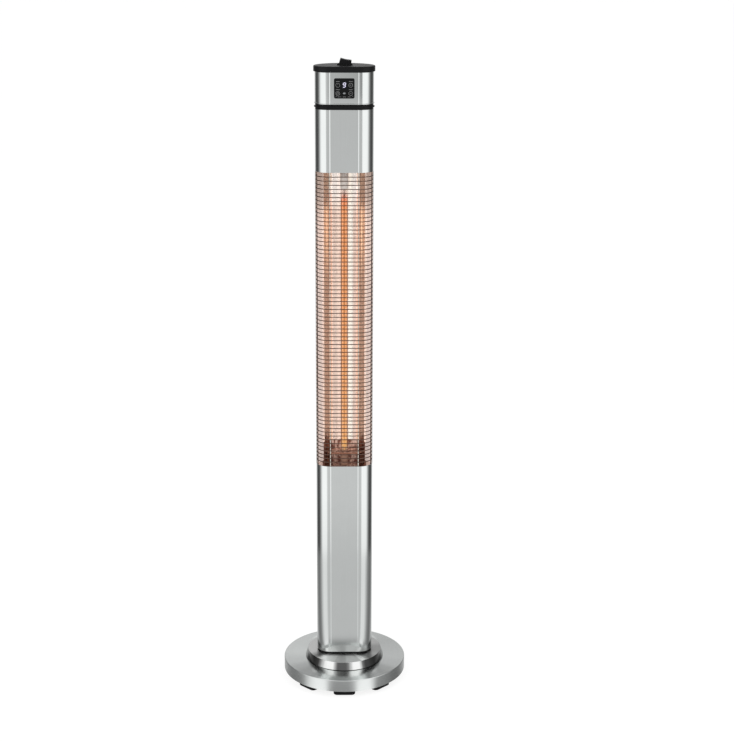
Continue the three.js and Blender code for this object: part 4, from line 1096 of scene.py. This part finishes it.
def icon(kind, x, z, front):
    """A small plain sign inside a button's ring."""
    stroke = 0.42 * mm
    if kind == "power":
        arc = flat_ring(x, z, 1.75 * mm, 1.35 * mm, front, math.radians(290), math.radians(-55))
        return add_to(arc, bar(x, z + 1.2 * mm, stroke, 1.6 * mm, front))
    if kind == "timer":
        dial = flat_ring(x, z, 1.9 * mm, 1.55 * mm, front)
        hand = 0.34 * mm
        add_to(dial, bar(x, z + 0.45 * mm, hand, 1.2 * mm, front))
        return add_to(dial, bar(x + 0.4 * mm, z, 1.0 * mm, hand, front))
    made = bar(x, z, 2.6 * mm, stroke, front)
    return add_to(made, bar(x, z, stroke, 2.6 * mm, front)) if kind == "up" else made


def make_button(kind):
    node, body = f"button_{kind}", f"{kind}_button"
    low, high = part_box(node)
    x, _, z = centre_of(node)
    front, depth, flange = low[1], high[1] - low[1], 1.2 * mm
    cap = turned([
        (0, 0.1 * mm), (3 * mm, 0.02 * mm), (3.9 * mm, 0), (4.1 * mm, 0.1 * mm), (button_radius, 0.3 * mm),
        (button_radius, depth - flange), (5 * mm, depth - flange), (5 * mm, depth), (0, depth)], 48)
    moved(cap, (x, front, z), turn_of(-90, "X"))
    piece(f"{node}_cap", cap, "gloss_black", [node], body)
    marks = add_to(flat_ring(x, z, 3.6 * mm, 3.15 * mm, front), icon(kind, x, z, front + 0.05 * mm))
    piece(f"{node}_mark", marks, "grey_plastic", (), body, panel_ink)


def hole_tool(front, back, places, window, lens):
    """All that is cut out of the panel, past its front and back by a margin."""
    tool = bmesh.new()
    button_gap, gap, margin = 0.3 * mm, 0.2 * mm, 2 * mm
    for x, z in places:
        drill = cylinder(button_radius + button_gap, back - front + 2 * margin, 48)
        add_to(tool, moved(drill, (x, (front + back) / 2, z), turn_of(90, "X")))
    for (low, high), corner in ((window, 1.1 * mm), (lens, 1.5 * mm)):
        add_to(tool, rounded_block((low[0] - gap, front - margin, low[2] - gap),
                                   (high[0] + gap, back + margin, high[2] + gap), corner, 5, "y"))
    return tool


def make_panel():
    low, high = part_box("control_fascia")
    front, back, plate = low[1], low[1] + 4.5 * mm, 1.2 * mm
    kinds = ("power", "up", "timer", "down")
    places = [centre_of(f"button_{kind}")[::2] for kind in kinds]
    fascia = rounded_block((low[0], front, low[2]), (high[0], front + plate, high[2]), panel_corner, 8, "y")
    sink(fascia, face_towards(fascia, (0, 1, 0)), 1.2 * mm, back - front - plate)
    soften(fascia, 0.35 * mm, 3, where=in_front(front))
    window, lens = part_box("display_window"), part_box("receiver_lens")
    fascia = carved(fascia, hole_tool(front, back, places, window, lens))
    piece("control_fascia_moulded", fascia, "gloss_black", ["control_fascia"])
    for kind in kinds:
        make_button(kind)

    low, high = window
    pane = rounded_block((low[0], front, low[2]), (high[0], back, high[2]), 0.9 * mm, 5, "y")
    soften(pane, 0.12 * mm, 2, where=in_front(front))
    piece("display_window_pane", pane, "smoked_plastic", ["display_window"])
    low, high = lens
    eye = rounded_block(low, (high[0], back, high[2]), 1.25 * mm, 6, "y")
    soften(eye, 0.25 * mm, 3, where=in_front(low[1]))
    piece("receiver_lens_eye", eye, "smoked_plastic", ["receiver_lens"], finish=finishes["grey_plastic"])
    make_digit(front, centre_of("display_window")[2] + 0.4 * mm)
    make_labels(front, places)


def make_digit(front, z):
    """A leaning seven-segment nine."""
    wide, tall, thick, lean = 3.0 * mm, 3.6 * mm, 1.2 * mm, 0.16
    side = wide / 1.55
    digit = bmesh.new()
    for x, dz, is_upright in (
            (0, tall, False), (0, 0, False), (0, -tall, False),
            (-side, tall / 2, True), (side, tall / 2, True), (side, -tall / 2, True)):
        width, height = (thick, tall - 0.5 * mm) if is_upright else (wide, thick)
        add_to(digit, bar(x + lean * dz, z + dz, width, height, front, lean if is_upright else 0.0))
    piece("display_digit", digit, "smoked_plastic", finish=digit_light)


def make_labels(front, places):
    """Rows of small plain dashes where the panel has its printing."""
    marks = bmesh.new()
    for x, z in places:
        for i in range(5):
            add_to(marks, bar(x + (i - 2) * 1.25 * mm, z + 6.1 * mm, 0.95 * mm, 0.9 * mm, front))
    low = min(z for _, z in places) - 5.9 * mm
    for group in (-8.2, 0.0, 8.2):
        for i in range(4):
            add_to(marks, bar(group * mm + (i - 1.5) * 1.3 * mm, low, 1.0 * mm, 0.7 * mm, front))
    for side in (-1, 1):
        add_to(marks, bar(side * 13.3 * mm, low + 1.3 * mm, 0.35 * mm, 3.4 * mm, front, side * -0.75))
    piece("panel_labels", marks, "grey_plastic", finish=panel_ink)


# ---- Rocker switch ----
def make_rocker():
    lid_top = levels("lid")[1]
    low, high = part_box("rocker_housing")
    bezel_bottom = lid_top + 0.3 * mm
    housing = rounded_block((low[0], low[1], bezel_bottom), high, 1.5 * mm, 6)
    sink(housing, face_towards(housing, (0, 0, -1)), 0.9 * mm, bezel_bottom - low[2])
    sink(housing, face_towards(housing, (0, 0, 1)), 1.5 * mm, lid_top - 6 * mm - high[2])
    soften(housing, 0.4 * mm, 3, where=over(high[2]))
    piece("rocker_housing_moulded", housing, "satin_black", ["rocker_housing"])

    pin_z = lid_top - 1 * mm
    side = [(rocker_half_x, -1.5 * mm), (rocker_half_x - 0.2 * mm, 4 * mm),
            (rocker_half_x - 0.9 * mm, rocker_top - 0.2 * mm)]
    section = [(-rocker_half_x, -1.5 * mm), *side]
    dish_points = 9
    for i in range(dish_points):
        share = 1 - 2 * (i + 0.5) / dish_points
        section.append((share * (rocker_half_x - 1.6 * mm), rocker_top - rocker_dish * (1 - share * share)))
    section += [(-x, z) for x, z in side[:0:-1]]
    rocker = bmesh.new()
    face = rocker.faces.new([rocker.verts.new((x, -rocker_half_y, z)) for x, z in section])
    grown = bmesh.ops.extrude_face_region(rocker, geom=[face])["geom"]
    bmesh.ops.translate(rocker, vec=(0, 2 * rocker_half_y, 0), verts=verts_in(grown))
    soften(rocker, 0.5 * mm, 3, angle=40)
    moved(rocker, (rocker_x, 0, pin_z), turn_of(rocker_tilt, "Y"))
    piece("rocker_paddle", rocker, "satin_black", ["rocker"], "rocker_switch")


# ---- The whole heater ----
def finish_cad_nodes():
    """The plain CAD pieces keep their shape and take the same finishes."""
    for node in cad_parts.values():
        for holder in node.material_slots:
            name = plain_name(holder.material)
            if name in finishes:
                holder.material = finishes[name]
            else:
                print("no finish for", node.name, name)


make_camera()
make_world()
make_floor()
make_lamps()
make_tent()
finish_cad_nodes()
make_base()
make_tubes()
make_gland()
make_cage()
make_rear_cover()
make_reflector()
make_lamp()
make_head()
make_panel()
make_rocker()

bpy.context.scene.view_settings.view_transform = "Standard"
